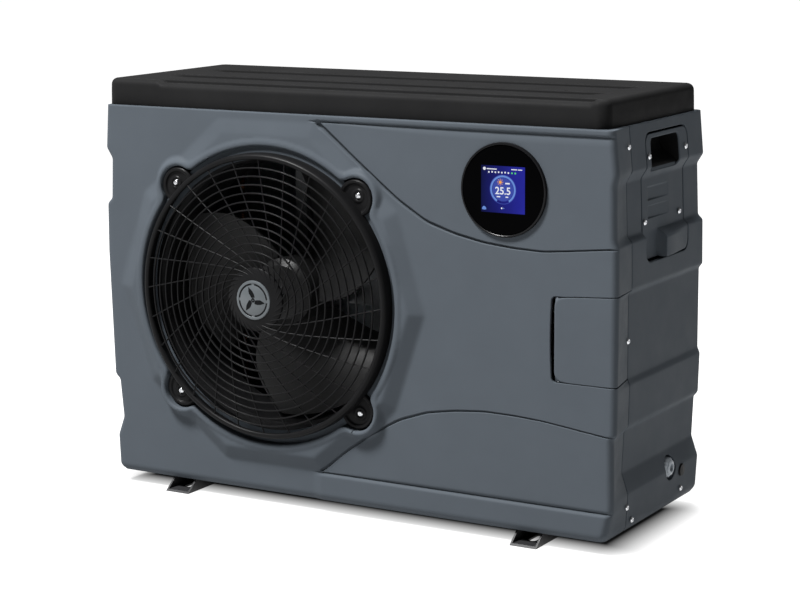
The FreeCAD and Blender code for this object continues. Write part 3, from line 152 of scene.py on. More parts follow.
def surface(name, colour, rough, metal=0.0, grain=1.0, depth=0.03, mottle=0.06, wear=1.25, specular=0.5,
            coat=0.0, patch=90.0, rough_span=0.08, ior=1.45):
    """Procedural finish: mottled colour, worn edges, roughness variation and a fine grain.

    grain is the size of the bumps and depth their height, both in millimetres."""
    tree, shader = new_nodes(name)
    cloud = noise(tree, 1000.0 / patch, 4.0, 0.6)
    base = mix_colour(tree, ramp(tree, cloud, 0.0, 1.0), tint(colour, 1 - mottle), tint(colour, 1 + mottle))
    fine = noise(tree, 1000.0 / grain, 2.0, 0.5)
    geometry = tree.nodes.new("ShaderNodeNewGeometry")
    edge = ramp(tree, geometry.outputs["Pointiness"], 0.0, 1.0, 0.52, 0.62)
    worn = ramp(tree, noise(tree, 130.0, 5.0, 0.7), 0.0, 0.8, 0.42, 0.62)
    product = tree.nodes.new("ShaderNodeMath")
    product.operation = "MULTIPLY"
    tree.links.new(edge, product.inputs[0])
    tree.links.new(worn, product.inputs[1])
    base = mix_colour(tree, product.outputs[0], base, tint(colour, wear))
    tree.links.new(base, shader.inputs["Base Color"])
    smudge = noise(tree, 22.0, 5.0, 0.65)
    tree.links.new(ramp(tree, smudge, rough - rough_span, rough + rough_span), shader.inputs["Roughness"])
    bump = tree.nodes.new("ShaderNodeBump")
    set_inputs(bump, {"Distance": depth * MM, "Strength": 1.0})
    tree.links.new(fine, bump.inputs["Height"])
    tree.links.new(bump.outputs[0], shader.inputs["Normal"])
    set_inputs(shader, {"Metallic": metal, "Specular IOR Level": specular, "IOR": ior, "Coat Weight": coat,
                        "Coat Roughness": 0.12})


def lit_nodes(name, strength):
    """Nodes of a lit part of the screen, which is black and hardly shines when it is off."""
    tree, shader = new_nodes(name)
    set_inputs(shader, {"Base Color": (0, 0, 0, 1), "Roughness": 0.1, "Specular IOR Level": 0.03,
                        "Emission Strength": strength})
    return tree, shader.inputs["Emission Color"]


def glow(name, colour, strength):
    tree, emission = lit_nodes(name, strength)
    grain = noise(tree, 2600.0, 1.0)
    lit = mix_colour(tree, ramp(tree, grain, 0.0, 1.0), tint(colour, 0.93), colour)
    tree.links.new(lit, emission)


def screen_glow(name):
    """Deep blue picture that brightens towards its right side and middle."""
    tree, emission = lit_nodes(name, 0.9)
    coords = tree.nodes.new("ShaderNodeTexCoord")
    axes = tree.nodes.new("ShaderNodeSeparateXYZ")
    tree.links.new(coords.outputs["Object"], axes.inputs[0])
    left = (DISPLAY[0] - SCREEN_W / 2) * MM
    across = ramp(tree, axes.outputs["X"], 0.0, 1.0, left, left + SCREEN_W * MM)
    lit = mix_colour(tree, across, (0.004, 0.006, 0.055), (0.02, 0.022, 0.34))
    band = ramp(tree, noise(tree, 26.0, 2.0), 0.82, 1.12)
    tree.links.new(mix_colour(tree, 1.0, lit, band, "MULTIPLY"), emission)


surface("casing_plastic", (0.0517, 0.06, 0.0695), 0.5, grain=0.9, depth=0.035, mottle=0.035, wear=1.35,
        specular=0.4, ior=1.11)
surface("cover_plastic", (0.0098, 0.0098, 0.01), 0.55, grain=1.1, depth=0.05, mottle=0.1, wear=1.6,
        specular=0.4, ior=1.09)
surface("black_plastic", (0.006, 0.006, 0.0063), 0.36, grain=0.7, depth=0.02, mottle=0.1, wear=1.6,
        specular=0.4, ior=1.16)
surface("fan_plastic", (0.011, 0.011, 0.0112), 0.42, grain=0.8, depth=0.02, mottle=0.1, wear=1.6,
        specular=0.2)
surface("badge_plastic", (0.07, 0.079, 0.085), 0.36, metal=0.2, grain=0.5, depth=0.008, mottle=0.03,
        wear=1.2)
surface("screw_steel", (0.62, 0.63, 0.65), 0.24, metal=1.0, grain=0.4, depth=0.01, mottle=0.05, wear=1.2)
surface("rail_steel", (0.016, 0.016, 0.017), 0.42, grain=0.9, mottle=0.12, wear=1.3, specular=0.3)
# The steel is darkened so that the partition seen through the grille looks shaded: painted shade on the
# steel's own colour
surface("sheet_steel", (0.15, 0.155, 0.16), 0.42, metal=0.7, grain=14.0, depth=0.01, mottle=0.14, wear=1.2,
        patch=30.0)
surface("fin_aluminium", (0.36, 0.4, 0.42), 0.36, metal=0.9, grain=2.0, mottle=0.1, wear=1.2)
surface("copper", (0.62, 0.27, 0.14), 0.3, metal=1.0, grain=3.0, depth=0.02, mottle=0.16, patch=25.0)
surface("valve_brass", (0.58, 0.42, 0.17), 0.32, metal=1.0, grain=0.8, depth=0.02, mottle=0.1, wear=1.2)
surface("coil_black", (0.02, 0.02, 0.022), 0.48, grain=0.6, mottle=0.1, wear=1.8)
surface("compressor_paint", (0.012, 0.012, 0.013), 0.26, grain=1.6, depth=0.02, mottle=0.12, wear=2.0,
        coat=0.3)
surface("motor_paint", (0.46, 0.47, 0.48), 0.34, metal=0.85, grain=1.2, depth=0.04, mottle=0.1, wear=1.2)
surface("rubber", (0.017, 0.017, 0.017), 0.72, grain=0.8, depth=0.05, mottle=0.15, wear=1.5, specular=0.3)
surface("pvc_white", (0.7, 0.71, 0.7), 0.3, grain=1.4, depth=0.012, mottle=0.03, wear=1.04)
surface("pvc_dark", (0.075, 0.082, 0.092), 0.36, depth=0.02, wear=1.4)
surface("titanium", (0.4, 0.39, 0.37), 0.3, metal=1.0, depth=0.01, mottle=0.1, wear=1.15)
surface("display_glass", (0.0005, 0.0005, 0.0006), 0.06, grain=40.0, depth=0.002, mottle=0.2, wear=1.0,
        specular=0.01, rough_span=0.02)
surface("screen", (0.006, 0.007, 0.012), 0.12, grain=20.0, depth=0.002, mottle=0.1, wear=1.0,
        rough_span=0.02)
surface("board_green", (0.012, 0.09, 0.04), 0.4, grain=1.2, depth=0.02, mottle=0.2, wear=1.2, patch=14.0)
surface("gland_grey", (0.27, 0.3, 0.33), 0.4, grain=0.7, mottle=0.05, wear=1.2)
surface("badge_ink", (0.004, 0.0045, 0.005), 0.5, grain=0.5, depth=0.01, mottle=0.05, wear=1.3,
        specular=0.2, ior=1.2)
surface("bezel_gloss", (0.004, 0.004, 0.0045), 0.3, grain=0.6, depth=0.004, mottle=0.1, wear=2.5,
        specular=0.15, rough_span=0.04)
screen_glow("screen_blue")
glow("screen_ring", (0.16, 0.3, 0.75), 0.9)
glow("screen_dial", (0.05, 0.08, 0.42), 0.9)
glow("screen_white", (0.85, 0.88, 0.95), 0.95)
glow("screen_green", (0.12, 0.7, 0.2), 0.9)
glow("screen_orange", (0.95, 0.42, 0.1), 0.9)


# ---- meshes -------------------------------------------------------------
def add_object(name, data):
    item = bpy.data.objects.new(name, data)
    bpy.context.scene.collection.objects.link(item)
    return item


def make_mesh(name, points, faces, material, body="cabinet", smooth=True, slot=None, flat_angle=None):
    """Object from points in millimetres; it rides on a body and takes a material slot for the given material.
    The slot argument is not used.
    """
    mesh = bpy.data.meshes.new(name)
    mesh.from_pydata((np.asarray(points, float) * MM).tolist(), [], [tuple(face) for face in faces])
    mesh.validate()
    if smooth:
        mesh.shade_smooth()
    if flat_angle:
        mesh.set_sharp_from_angle(angle=math.radians(flat_angle))
    mesh.materials.append(MATERIALS[material])
    item = add_object(name, mesh)
    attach(item, body)
    slot or material
    return item


def weld(parts):
    """Join (points, faces) pairs into one pair."""
    points, faces, count = [], [], 0
    for part_points, part_faces in parts:
        points.append(np.asarray(part_points, float))
        faces += [tuple(index + count for index in face) for face in part_faces]
        count += len(part_points)
    return np.vstack(points), faces


def lathe(profile, centre, axis, steps=96, closed=False, ripple=lambda angle, radius: radius):
    """Surface of revolution from (radius, along) points. ripple() may change the radius round the axis."""
    axis = Vector(axis).normalized()
    side = axis.orthogonal().normalized()
    up = axis.cross(side)
    points, rings = [], []
    for radius, along in profile:
        middle = Vector(centre) + axis * along
        if radius == 0:
            rings.append([len(points)] * steps)
            points.append(middle)
            continue
        rings.append([len(points) + step for step in range(steps)])
        for step in range(steps):
            angle = 2 * math.pi * step / steps
            spoke = side * math.cos(angle) + up * math.sin(angle)
            points.append(middle + spoke * ripple(angle, radius))
    pairs = list(zip(rings, rings[1:] + rings[:1])) if closed else list(zip(rings, rings[1:]))
    faces = []
    for ring, following in pairs:
        for step in range(steps):
            after = (step + 1) % steps
            quad = (ring[step], following[step], following[after], ring[after])
            corners = tuple(dict.fromkeys(quad))
            if len(corners) > 2:
                faces.append(corners)
    return points, faces


def sweep(path, across, deep, rounding, depth_dir):
    """Bar with a rounded rectangular section along a path, its depth along depth_dir."""
    path = np.asarray(path, float)
    tangents = np.gradient(path, axis=0)
    tangents /= np.linalg.norm(tangents, axis=1)[:, None]
    side_dir = np.cross(tangents, depth_dir)
    side_dir /= np.linalg.norm(side_dir, axis=1)[:, None]
    a, b = across / 2, deep / 2
    c = min(a, b) * rounding * 2
    section = [(a - c, b), (a, b - c), (a, c - b), (a - c, -b),
               (c - a, -b), (-a, c - b), (-a, b - c), (c - a, b)]
    points = []
    for i in range(len(path)):
        points += [path[i] + side_dir[i] * x + depth_dir * y for x, y in section]
    count = len(section)
    faces = []
    for i in range(len(path) - 1):
        for j in range(count):
            k = (j + 1) % count
            faces.append((i * count + j, i * count + k, (i + 1) * count + k, (i + 1) * count + j))
    faces.append(tuple(range(count))[::-1])
    faces.append(tuple((len(path) - 1) * count + j for j in range(count)))
    return points, faces


# ---- unrolled casing ----------------------------------------------------
TOP_LIP = [(0.3, 0.4), (0.6, 1.5), (0.7, 3.0), (0.7, 6.0), (0.7, 14.0)]      # under the cover


def soft_band(bands, height):
    """Band offset at a height, with the corners of the profile rounded."""
    levels, offsets = zip(*bands)
    shifts = np.linspace(-BAND_SOFT, BAND_SOFT, 9)
    return np.mean([np.interp(height + shift, levels, offsets) for shift in shifts], axis=0)


def wall_frame(u, height, shift=0.0):
    """Point and outward direction of the casing's wall at unrolled distance u from the front's middle."""
    side = np.where(u < 0, -1.0, 1.0)
    a = np.abs(u)
    rear_x = HALF_W + shift + np.where(u < 0, soft_band(LEFT_BANDS, height), soft_band(RIGHT_BANDS, height))
    fore_x = np.where(u < 0, rear_x, HALF_W + shift + soft_band(CORNER_BANDS, height))
    half_y = HALF_D + np.interp(height, *zip(*SILL_BANDS))
    run, rear_run = fore_x - CORNER_R, rear_x - CORNER_R
    depth = half_y - CORNER_R
    front = np.where(a < FLAT_X, a, FLAT_X + (a - FLAT_X) * (run - FLAT_X) / (ARC_START - FLAT_X))
    turn = np.clip((a - ARC_START) / CORNER_R, 0, math.pi / 2)
    side_y = -depth + 2 * depth * np.clip((a - SIDE_START) / (SIDE_END - SIDE_START), 0, 1)
    forward = np.clip((SEAM_Y - side_y) / (SEAM_Y + depth), 0, 1)
    back_turn = np.clip((a - SIDE_END) / CORNER_R, 0, math.pi / 2)
    x = np.where(a < ARC_START, front, run + CORNER_R * np.sin(turn))
    y = np.where(a < ARC_START, -half_y, -depth - CORNER_R * np.cos(turn))
    x = np.where(a > SIDE_START, rear_x + (fore_x - rear_x) * forward, x)
    y = np.where(a > SIDE_START, side_y, y)
    x = np.where(a > SIDE_END, rear_run + CORNER_R * np.cos(back_turn), x)
    y = np.where(a > SIDE_END, depth + CORNER_R * np.sin(back_turn), y)
    x = np.where(a > BACK_START, rear_run - (a - BACK_START) / BACK_RUN * (rear_run - REAR_JOINT_X), x)
    heading = turn + back_turn
    normal = np.stack([side * np.sin(heading), -np.cos(heading), np.zeros_like(u)], -1)
    return np.stack([side * x, y, FOOT_H + height], -1), normal


def side_u(y):
    """Unrolled distance of a point on the side face."""
    return SIDE_START + y + HALF_D - CORNER_R


def clip_grid(grid_u, grid_v, keep):
    """Cut a grid of (u, v) points where keep(u, v) is negative. Returns the points and the faces."""
    rows, columns = grid_u.shape
    u, v = grid_u.ravel(), grid_v.ravel()
    value = keep(u, v)
    value = np.where(np.abs(value) < 1e-6, 1e-6, value)
    inside = value > 0
    index = np.arange(rows * columns).reshape(rows, columns)
    quads = np.stack([index[:-1, :-1], index[:-1, 1:], index[1:, 1:], index[1:, :-1]], -1).reshape(-1, 4)
    score = inside[quads].sum(1)
    faces = [tuple(quad) for quad in quads[score == 4].tolist()]
    extra, cuts = [], {}

    def crossing(i, j):
        key = (min(i, j), max(i, j))
        if key not in cuts:
            cuts[key] = rows * columns + len(extra)
            extra.append((i, j) if inside[i] else (j, i))
        return cuts[key]

    for quad in quads[(score > 0) & (score < 4)].tolist():
        corners = []
        for i, j in zip(quad, quad[1:] + quad[:1]):
            if inside[i]:
                corners.append(i)
            if inside[i] != inside[j]:
                corners.append(crossing(i, j))
        if len(corners) > 2:
            faces.append(tuple(corners))
    if extra:
        first, second = np.array(extra).T
        low, high = np.zeros(len(extra)), np.ones(len(extra))
        for _ in range(18):
            middle = (low + high) / 2
            kept = keep(u[first] + (u[second] - u[first]) * middle,
                        v[first] + (v[second] - v[first]) * middle) > 0
            low, high = np.where(kept, middle, low), np.where(kept, high, middle)
        u = np.concatenate([u, u[first] + (u[second] - u[first]) * low])
        v = np.concatenate([v, v[first] + (v[second] - v[first]) * low])
    used = np.unique(np.concatenate([np.array(face) for face in faces]))
    remap = np.full(len(u), -1)
    remap[used] = np.arange(len(used))
    return u[used], v[used], [tuple(remap[list(face)].tolist()) for face in faces]


def border_loops(faces):
    """Directed edges that only one face uses."""
    seen = {}
    for face in faces:
        for i, j in zip(face, face[1:] + face[:1]):
            seen[(i, j)] = seen.get((i, j), 0) + 1
    return [(i, j) for i, j in seen if (j, i) not in seen]


def turn_in(points, faces, normals, rings):
    """Carry every border edge over a rounded lip. rings(point) lists (outwards, inwards) offsets."""
    edges = border_loops(faces)
    outward = {}
    for i, j in edges:
        direction = points[j] - points[i]
        length = np.linalg.norm(direction)
        if length < 1e-9:
            continue
        away = np.cross(direction / length, (normals[i] + normals[j]) / 2)
        for k in (i, j):
            outward[k] = outward.get(k, 0) + away
    order = list(outward)
    away = np.array([outward[k] / max(np.linalg.norm(outward[k]), 1e-9) for k in order])
    base = points[order]
    inward = normals[order]
    steps = np.array([rings(*base[n]) for n in range(len(order))])
    position = {k: n for n, k in enumerate(order)}
    blocks, count = [points], len(points)
    for step in range(steps.shape[1]):
        out, deep = steps[:, step, 0:1], steps[:, step, 1:2]
        blocks.append(base + away * out - inward * deep)
    faces = list(faces)
    for i, j in edges:
        if i not in position or j not in position:
            continue
        chain_i = [i] + [count + step * len(order) + position[i] for step in range(steps.shape[1])]
        chain_j = [j] + [count + step * len(order) + position[j] for step in range(steps.shape[1])]
        for a, b, c, d in zip(chain_i, chain_i[1:], chain_j[1:], chain_j):
            faces.append((d, a, b, c))
    return np.vstack(blocks), faces


def lip_rings(radius, depth, steps=4):
    """(outwards, inwards) offsets of a lip of the given radius that goes down to depth."""
    arc = [math.pi / 2 * (step + 1) / steps for step in range(steps)]
    return [(radius * math.sin(angle), radius * (1 - math.cos(angle))) for angle in arc] + [(radius, depth)]


def smooth_min(first, second, width):
    blend = np.clip(0.5 + 0.5 * (second - first) / width, 0, 1)
    return second + (first - second) * blend - width * blend * (1 - blend)


def soft_ramp(value, soft=0.12):
    """0 below 0 and 1 above 1, with both corners rounded."""
    shifts = np.linspace(-soft, soft, 5)
    return np.mean([np.clip(value + shift, 0, 1) for shift in shifts], axis=0)


def round_rect(u, v, u0, u1, v0, v1, radius):
    """Signed distance to a rounded rectangle, negative inside."""
    du = np.abs(u - (u0 + u1) / 2) - (u1 - u0) / 2 + radius
    dv = np.abs(v - (v0 + v1) / 2) - (v1 - v0) / 2 + radius
    outside = np.hypot(np.maximum(du, 0), np.maximum(dv, 0))
    return outside + np.minimum(np.maximum(du, dv), 0) - radius


# ---- front shell --------------------------------------------------------
RELIEF = [(-235, 612), (-52, 612), (100, 482), (148, 322), (95, 165), (-45, 48), (-232, 48), (-381, 165),
          (-434, 322), (-386, 482)]
RELIEF_RISE = [(430, 13.0), (585, 4.5)]      # (height, stand-out): less towards the top
EAR_R = 240.0
EAR_POCKET_R = 33.0
EAR_ANGLES = (45, 135, 225, 315)
EARS = [(FAN_X + EAR_R * math.cos(math.radians(angle)), FAN_H + EAR_R * math.sin(math.radians(angle)))
        for angle in EAR_ANGLES]
OPENING_R = 243.0
LIP_ROUND = 4.0
FLANGE_R = 222.0                   # the guard's rim stands on this flange of the front shell
SWOOSH = [(-470, 604), (-140, 606), (-70, 611), (-45, 612.6), (-20, 593), (20, 561), (60, 530), (100, 500),
          (150, 470), (200, 454.5), (250, 444.5), (300, 439.5), (350, 437.5), (400, 442), (452, 449),
          (470, 449.5)]
SILL_ARC = [(-470, 58), (-100, 52), (-70, 50), (-45, 48.5), (0, 86), (50, 122), (100, 150), (150, 167.5),
            (200, 176), (250, 180.5), (300, 180), (350, 177), (400, 171), (452, 163), (470, 162.5)]
LEDGE = [(-470, 43), (-45, 43), (455, 42), (470, 42)]
TOP_LINE = [(-470, 616), (-45, 616), (470, 615)]


def opening_distance(x, h):
    """Distance outside the fan opening and its four ear pockets."""
    result = np.hypot(x - FAN_X, h - FAN_H) - OPENING_R
    for ear_x, ear_h in EARS:
        result = smooth_min(result, np.hypot(x - ear_x, h - ear_h) - EAR_POCKET_R, 9.0)
    return result


def relief_lift(x, h):
    """Ten-sided raised field that rises in facets to the rounded lip around the fan."""
    inside = np.full(np.shape(x), 1e3)
    for (x0, h0), (x1, h1) in zip(RELIEF, RELIEF[1:] + RELIEF[:1]):
        length = math.hypot(x1 - x0, h1 - h0)
        distance = ((x - x0) * (h0 - h1) + (h - h0) * (x1 - x0)) / length
        inside = smooth_min(inside, -distance, 2.5)
    rise = np.interp(h, *zip(*RELIEF_RISE))
    facets = rise * soft_ramp(inside / 24.0)
    away = opening_distance(x, h)
    flank = rise * soft_ramp((15.0 - away) / 8.0, 0.2)
    lip = 2.0 * np.sqrt(np.clip(1 - ((away - 6.5) / 5.0) ** 2, 0, 1))
    return np.maximum(facets, flank) + lip


def spine(points, x):
    """Smooth height of a line across the front at x."""
    xs, hs = np.array(points, float).T
    shifts = np.linspace(-9, 9, 7)
    return np.mean([np.interp(x + shift, xs, hs) for shift in shifts], axis=0)


def groove_size(x, start, widest, narrowest):
    """Half width of a groove that starts at x = start and tapers towards the corner."""
    share = np.clip((x - start) / (455.0 - start), 0, 1)
    width = narrowest + (widest - narrowest) * (1 - share) ** 1.8
    return width * np.clip((x - start) / 5.0 + 1, 0, 1)


def swoosh_width(x):
    return groove_size(x, -45.0, 5.0, 1.5)


def arc_width(x):
    return groove_size(x, -45.0, 3.2, 1.3)


def front_lift(x, h):
    """How far the front's surface stands out of its plane."""
    lift = relief_lift(x, h)
    right = soft_ramp((x + 62.0) / 16.0)
    below = spine(LEDGE, x) - h
    lift = lift + right * 3.0 * soft_ramp((below + 2.5) / 5.0)
    lift = lift - right * 4.0 * np.exp(-((below + 2.4) / 1.2) ** 2)
    above = h - spine(TOP_LINE, x)
    lift = lift + right * (1.8 * soft_ramp((above + 1.0) / 3.0) - 3.2 * np.exp(-((above + 1.2) / 1.3) ** 2))
    for line, width, depth in ((SWOOSH, swoosh_width(x), 6.5), (SILL_ARC, arc_width(x), 4.5)):
        off = (h - spine(line, x)) / np.maximum(width, 0.05)
        sunk = depth * np.clip(width / width.max(), 0, 1) ** 0.5
        lift = lift - np.where(width > 0.3, sunk, 0) * np.clip(1 - np.abs(off) ** 4, 0, 1)
    return lift


def front_rows(x):
    """Heights of the grid's rows at x: they run along the grooves, and are close together beside them."""
    spines = [(spine(LEDGE, x), np.full_like(x, 2.6)),
              (spine(SILL_ARC, x), np.maximum(arc_width(x), 1.0)),
              (spine(SWOOSH, x), np.maximum(swoosh_width(x), 1.0)),
              (spine(TOP_LINE, x), np.full_like(x, 1.0))]
    between = [12, 26, 168, 24, 3]
    near = [-1.6, -1.05, -0.82, -0.45, 0.0, 0.45, 0.82, 1.05, 1.6]
    rows, last = [], np.zeros_like(x)
    for (height, width), count in zip(spines, between):
        first = height + near[0] * width
        first = np.maximum(first, last + 0.3)
        rows += [last + (first - last) * share for share in np.linspace(0, 1, count + 1)[:-1]]
        rows += [np.maximum(height + shift * width, first) for shift in near]
        last = rows[-1]
        rows.pop()
    rows += [last + (CASE_H - last) * share for share in np.linspace(0, 1, between[-1] + 1)]
    grid = np.array(rows)
    for i in range(1, len(grid)):
        grid[i] = np.maximum(grid[i], grid[i - 1] + 0.08)
    return grid * (CASE_H / grid[-1])


def door_edge(u, h, margin, gap, radius):
    """Signed distance to the door's outline, negative inside. Its top edge climbs to the corner."""
    highest = DOOR[2] + 3.0
    top = DOOR[2] - 3.0 + 6.0 * np.clip((u - DOOR[0] - 15.0) / 75.0, 0, 1)
    scaled = DOOR[1] + (h - DOOR[1]) * (highest - DOOR[1]) / (top - DOOR[1])
    return round_rect(u, scaled, DOOR[0] - gap, 900.0, DOOR[1] - margin, highest + margin, radius)


def bay_edge(u, h):
    """The door's bay: a finger gap at the left, widest in the middle, and a thin joint elsewhere."""
    return door_edge(u, h, 1.2, 3.8 + 2.4 * np.clip(1 - ((h - 307.0) / 66.0) ** 2, 0, 1), 7.0)


def build_front():
    """Shell that wraps both front corners, with the fan opening, display hole and door bay cut out."""
    seam = side_u(SEAM_Y - SEAM_GAP / 2) - 1.0
    arc = np.linspace(ARC_START, SIDE_START, 13)
    tail = np.linspace(SIDE_START, seam, 14)[1:]
    corner = np.concatenate([np.linspace(FLAT_X, ARC_START, 9)[1:-1], arc, tail])
    columns = np.concatenate([-corner[::-1], np.linspace(-FLAT_X, 330, 270), np.linspace(330, FLAT_X, 31)[1:],
                              corner])
    grid_u = np.tile(columns, (len(front_rows(columns[:1])), 1))
    grid_v = front_rows(columns)

    def keep(u, v):
        front = np.abs(u) < ARC_START
        value = np.where(front, opening_distance(u, v) - LIP_ROUND, 1e3)
        value = np.where(front, np.minimum(value, np.hypot(u - DISPLAY[0], v - DISPLAY[1]) - 64.0), value)
        return np.minimum(value, np.where(u > 300, bay_edge(u, v), 1e3) - 1.0)

    u, v, faces = clip_grid(grid_u, grid_v, keep)
    base, normal = wall_frame(u, v)
    fade = np.clip((ARC_START + 14 - np.abs(u)) / 14.0, 0, 1)
    lift = front_lift(np.clip(u, -ARC_START, ARC_START), v) * fade
    points = base + normal * lift[:, None]

    def rings(x, y, z):
        height = z - FOOT_H
        if y < -150 and opening_distance(x, height) < 12:
            return lip_rings(LIP_ROUND, 34.0)
        if height > CASE_H - 1:
            return TOP_LIP
        return lip_rings(1.0, WALL)

    seat = lathe([(FLANGE_R, -177.0), (OPENING_R + 1.0, -177.0)], (FAN_X, 0, FAN_Z), (0, 1, 0), 180)
    return make_mesh("front_shell", *weld([turn_in(points, faces, normal, rings), seat]), "casing_plastic")


# ---- door, side panels and handle cover ---------------------------------
def build_door():
    """Leaf round the front right corner, softly rounded at its left edge, and its hinge barrel."""
    seam = side_u(SEAM_Y - SEAM_GAP / 2) - 1.0
    arc = np.linspace(ARC_START, SIDE_START, 17)
    columns = np.concatenate([np.linspace(DOOR[0], FLAT_X, 19), np.linspace(FLAT_X, ARC_START, 13)[1:-1], arc,
                              np.linspace(SIDE_START, seam, 20)[1:]])
    levels = np.linspace(DOOR[1], DOOR[2] + 3.0, 74)
    grid_u, grid_v = np.meshgrid(columns, levels)

    def edge_radius(x):
        return 1.0 + 2.6 * soft_ramp((DOOR[0] + 26.0 - x) / 18.0)

    u, v, faces = clip_grid(grid_u, grid_v, lambda u, v: -door_edge(u, v, 0.0, 0.0, 15.0) - edge_radius(u))
    points, normal = wall_frame(u, v)
    leaf = turn_in(points, faces, normal, lambda x, y, z: lip_rings(float(edge_radius(x)), WALL + 1.0, 5))
    foot, head = FOOT_H + DOOR[1] + 0.8, FOOT_H + DOOR[2] - 2.6
    barrel = lathe([(0, foot), (5, foot), (5, head), (0, head)], (*HINGE, 0), (0, 0, 1), 24)
    return make_mesh("door_leaf", *weld([leaf, barrel]), "casing_plastic", "door")


def band_levels(pitch):
    """Row heights of a side face: evenly spaced, with more beside every band corner."""
    levels = set(np.linspace(0, CASE_H, int(CASE_H / pitch) + 1).tolist())
    for height, _ in RIGHT_BANDS + LEFT_BANDS:
        levels |= {height - 1.6, float(height), height + 1.6}
    kept = [0.0]
    for level in sorted(levels):
        if level - kept[-1] > 0.75 and level < CASE_H - 0.4:
            kept.append(level)
    return np.array(kept + [CASE_H])


def build_side(side):
    """Banded side panel: 1 is the right one, with the handle's opening and the gland's well."""
    front_edge = side_u(SEAM_Y + SEAM_GAP / 2) + 1.0
    back_edge = BACK_START + BACK_RUN
    columns = np.concatenate([np.linspace(front_edge, SIDE_END, 84), np.linspace(SIDE_END, BACK_START, 14)[1:],
                              np.linspace(BACK_START, back_edge, 10)[1:]])
    columns = columns if side > 0 else -columns[::-1]
    grid_u, grid_v = np.meshgrid(columns, band_levels(3.4))

    def keep(u, v):
        if side < 0:
            return np.full_like(u, 1.0)
        handle = round_rect(u, v, side_u(HANDLE_Y[0]), side_u(HANDLE_Y[1]), *HANDLE_H, 15.0) - HANDLE_GAP - 1.0
        well = np.hypot(u - side_u(GLAND[0]), v - GLAND[1]) - WELL_R - 1.0
        return np.minimum(handle, well)

    def rings(x, y, z):
        height = z - FOOT_H
        if math.hypot(y - GLAND[0], height - GLAND[1]) < WELL_R + 6 and side > 0:
            return lip_rings(1.0, HALF_W - WELL_FLOOR_X)
        if height > CASE_H - 1:
            return TOP_LIP
        return lip_rings(1.0, WALL + 2.0)

    u, v, faces = clip_grid(grid_u, grid_v, keep)
    points, normal = wall_frame(u, v)
    shell = turn_in(points, faces, normal, rings)
    if side < 0:
        return make_mesh("left_side_shell", *shell, "casing_plastic")
    floor = lathe([(0, WELL_FLOOR_X - 0.5), (WELL_R + 1.5, WELL_FLOOR_X - 0.5)],
                  (0, GLAND[0], FOOT_H + GLAND[1]), (1, 0, 0), 48)
    return make_mesh("right_side_shell", *weld([shell, floor]), "casing_plastic")


def handle_shift(u, h):
    """Stand-out of the handle cover from the side's bands: sunk at the foot beside a hood, and two marks."""
    y = u - side_u(0)
    band = soft_band(RIGHT_BANDS, h)
    hood = np.interp(h, *zip(*HOOD_PROFILE))
    start = soft_ramp((y - 7.4) / 1.4)
    end = soft_ramp((y - 30.0) / 65.0, 0.2)
    foot = -3.3 + (hood + 3.3) * start
    foot = foot * (1 - end) + band * end
    shift = (foot - band) * soft_ramp((462.0 - h) / 3.0)
    for low, high in HANDLE_MARKS:
        inside = soft_ramp((y + 28.0) / 1.0) * soft_ramp((50.0 - y) / 1.0)
        inside = inside * soft_ramp((h - low) / 1.0) * soft_ramp((high - h) / 1.0)
        shift = shift - inside * (0.2 + 2.6 * np.clip((50.0 - y) / 78.0, 0, 1))
    return shift


def build_handle():
    """Cover with a hand recess at its top, two marks, and a hood over its foot; the recess's deep faces take
    black plastic as painted shade.
    """
    y0, y1 = HANDLE_Y
    ys = set(np.linspace(y0, y1, 74).tolist()) | {6.7, 7.4, 8.1, 8.8, 9.5, -28.5, -28.0, -27.0, 49.0, 50.0}
    hs = set(np.linspace(*HANDLE_H, 92).tolist()) | {441.0, 443.0, 447.0, 457.0}
    for low, high in HANDLE_MARKS:
        hs |= {low - 0.5, low, low + 1.0, high - 1.0, high}
    columns = np.array(sorted(ys)) + side_u(0)
    grid_u, grid_v = np.meshgrid(columns, np.array(sorted(hs)))

    def keep(u, v):
        outer = -round_rect(u, v, side_u(y0), side_u(y1), *HANDLE_H, 15.0) - 1.0
        mouth = round_rect(u, v, side_u(RECESS_Y[0]), side_u(RECESS_Y[1]), *RECESS_H, 9.0) - 2.0
        return np.minimum(outer, mouth)

    def rings(x, y, z):
        if round_rect(y, z - FOOT_H, *RECESS_Y, *RECESS_H, 9.0) < 4.0:
            return lip_rings(2.0, 36.0)
        return lip_rings(1.0, WALL + 2.0)

    u, v, faces = clip_grid(grid_u, grid_v, keep)
    points, normal = wall_frame(u, v, handle_shift(u, v))
    cover = turn_in(points, faces, normal, rings)
    grid_u, grid_v = np.meshgrid(np.linspace(RECESS_Y[0] - 0.5, RECESS_Y[1] + 0.5, 40) + side_u(0),
                                 np.linspace(RECESS_H[0] - 0.5, RECESS_H[1] + 0.5, 24))
    u, v, floor_faces = clip_grid(grid_u, grid_v, lambda u, v: np.ones_like(u))
    depth = np.interp(v, [548, 556, 572, 580], [1.2, 8.0, 30.0, 34.0])
    floor, normal = wall_frame(u, v, -depth)
    item = make_mesh("handle_moulding", *weld([cover, (floor, floor_faces)]), "casing_plastic")
    # Second slot: black plastic, painted on the recess's deep faces as shade
    item.data.materials.append(MATERIALS["black_plastic"])
    for polygon in item.data.polygons:
        x, y, z = polygon.center / MM
        wall_x = wall_frame(side_u(y), z - FOOT_H)[0][..., 0]
        # Faces deep inside the recess turn black: painted shade, not the moulding's own colour
        if round_rect(y, z - FOOT_H, *RECESS_Y, *RECESS_H, 9.0) < 1.0 and x < wall_x - RECESS_PAINTED_SHADE:
            polygon.material_index = 1
    return item


# ---- top cover ----------------------------------------------------------
COVER_H = 44.0
COVER_ROUND = 11.0
COVER_X = (-464.0, 453.0)
COVER_HALF_D = 169.5
COVER_CORNER_R = 15.0
COVER_GROOVES = [(-146.0, -350.0, 420.0), (-52.0, -385.0, 390.0), (64.0, -385.0, 395.0)]
GROOVE_W = 50.0
GROOVE_DEPTH = 6.0


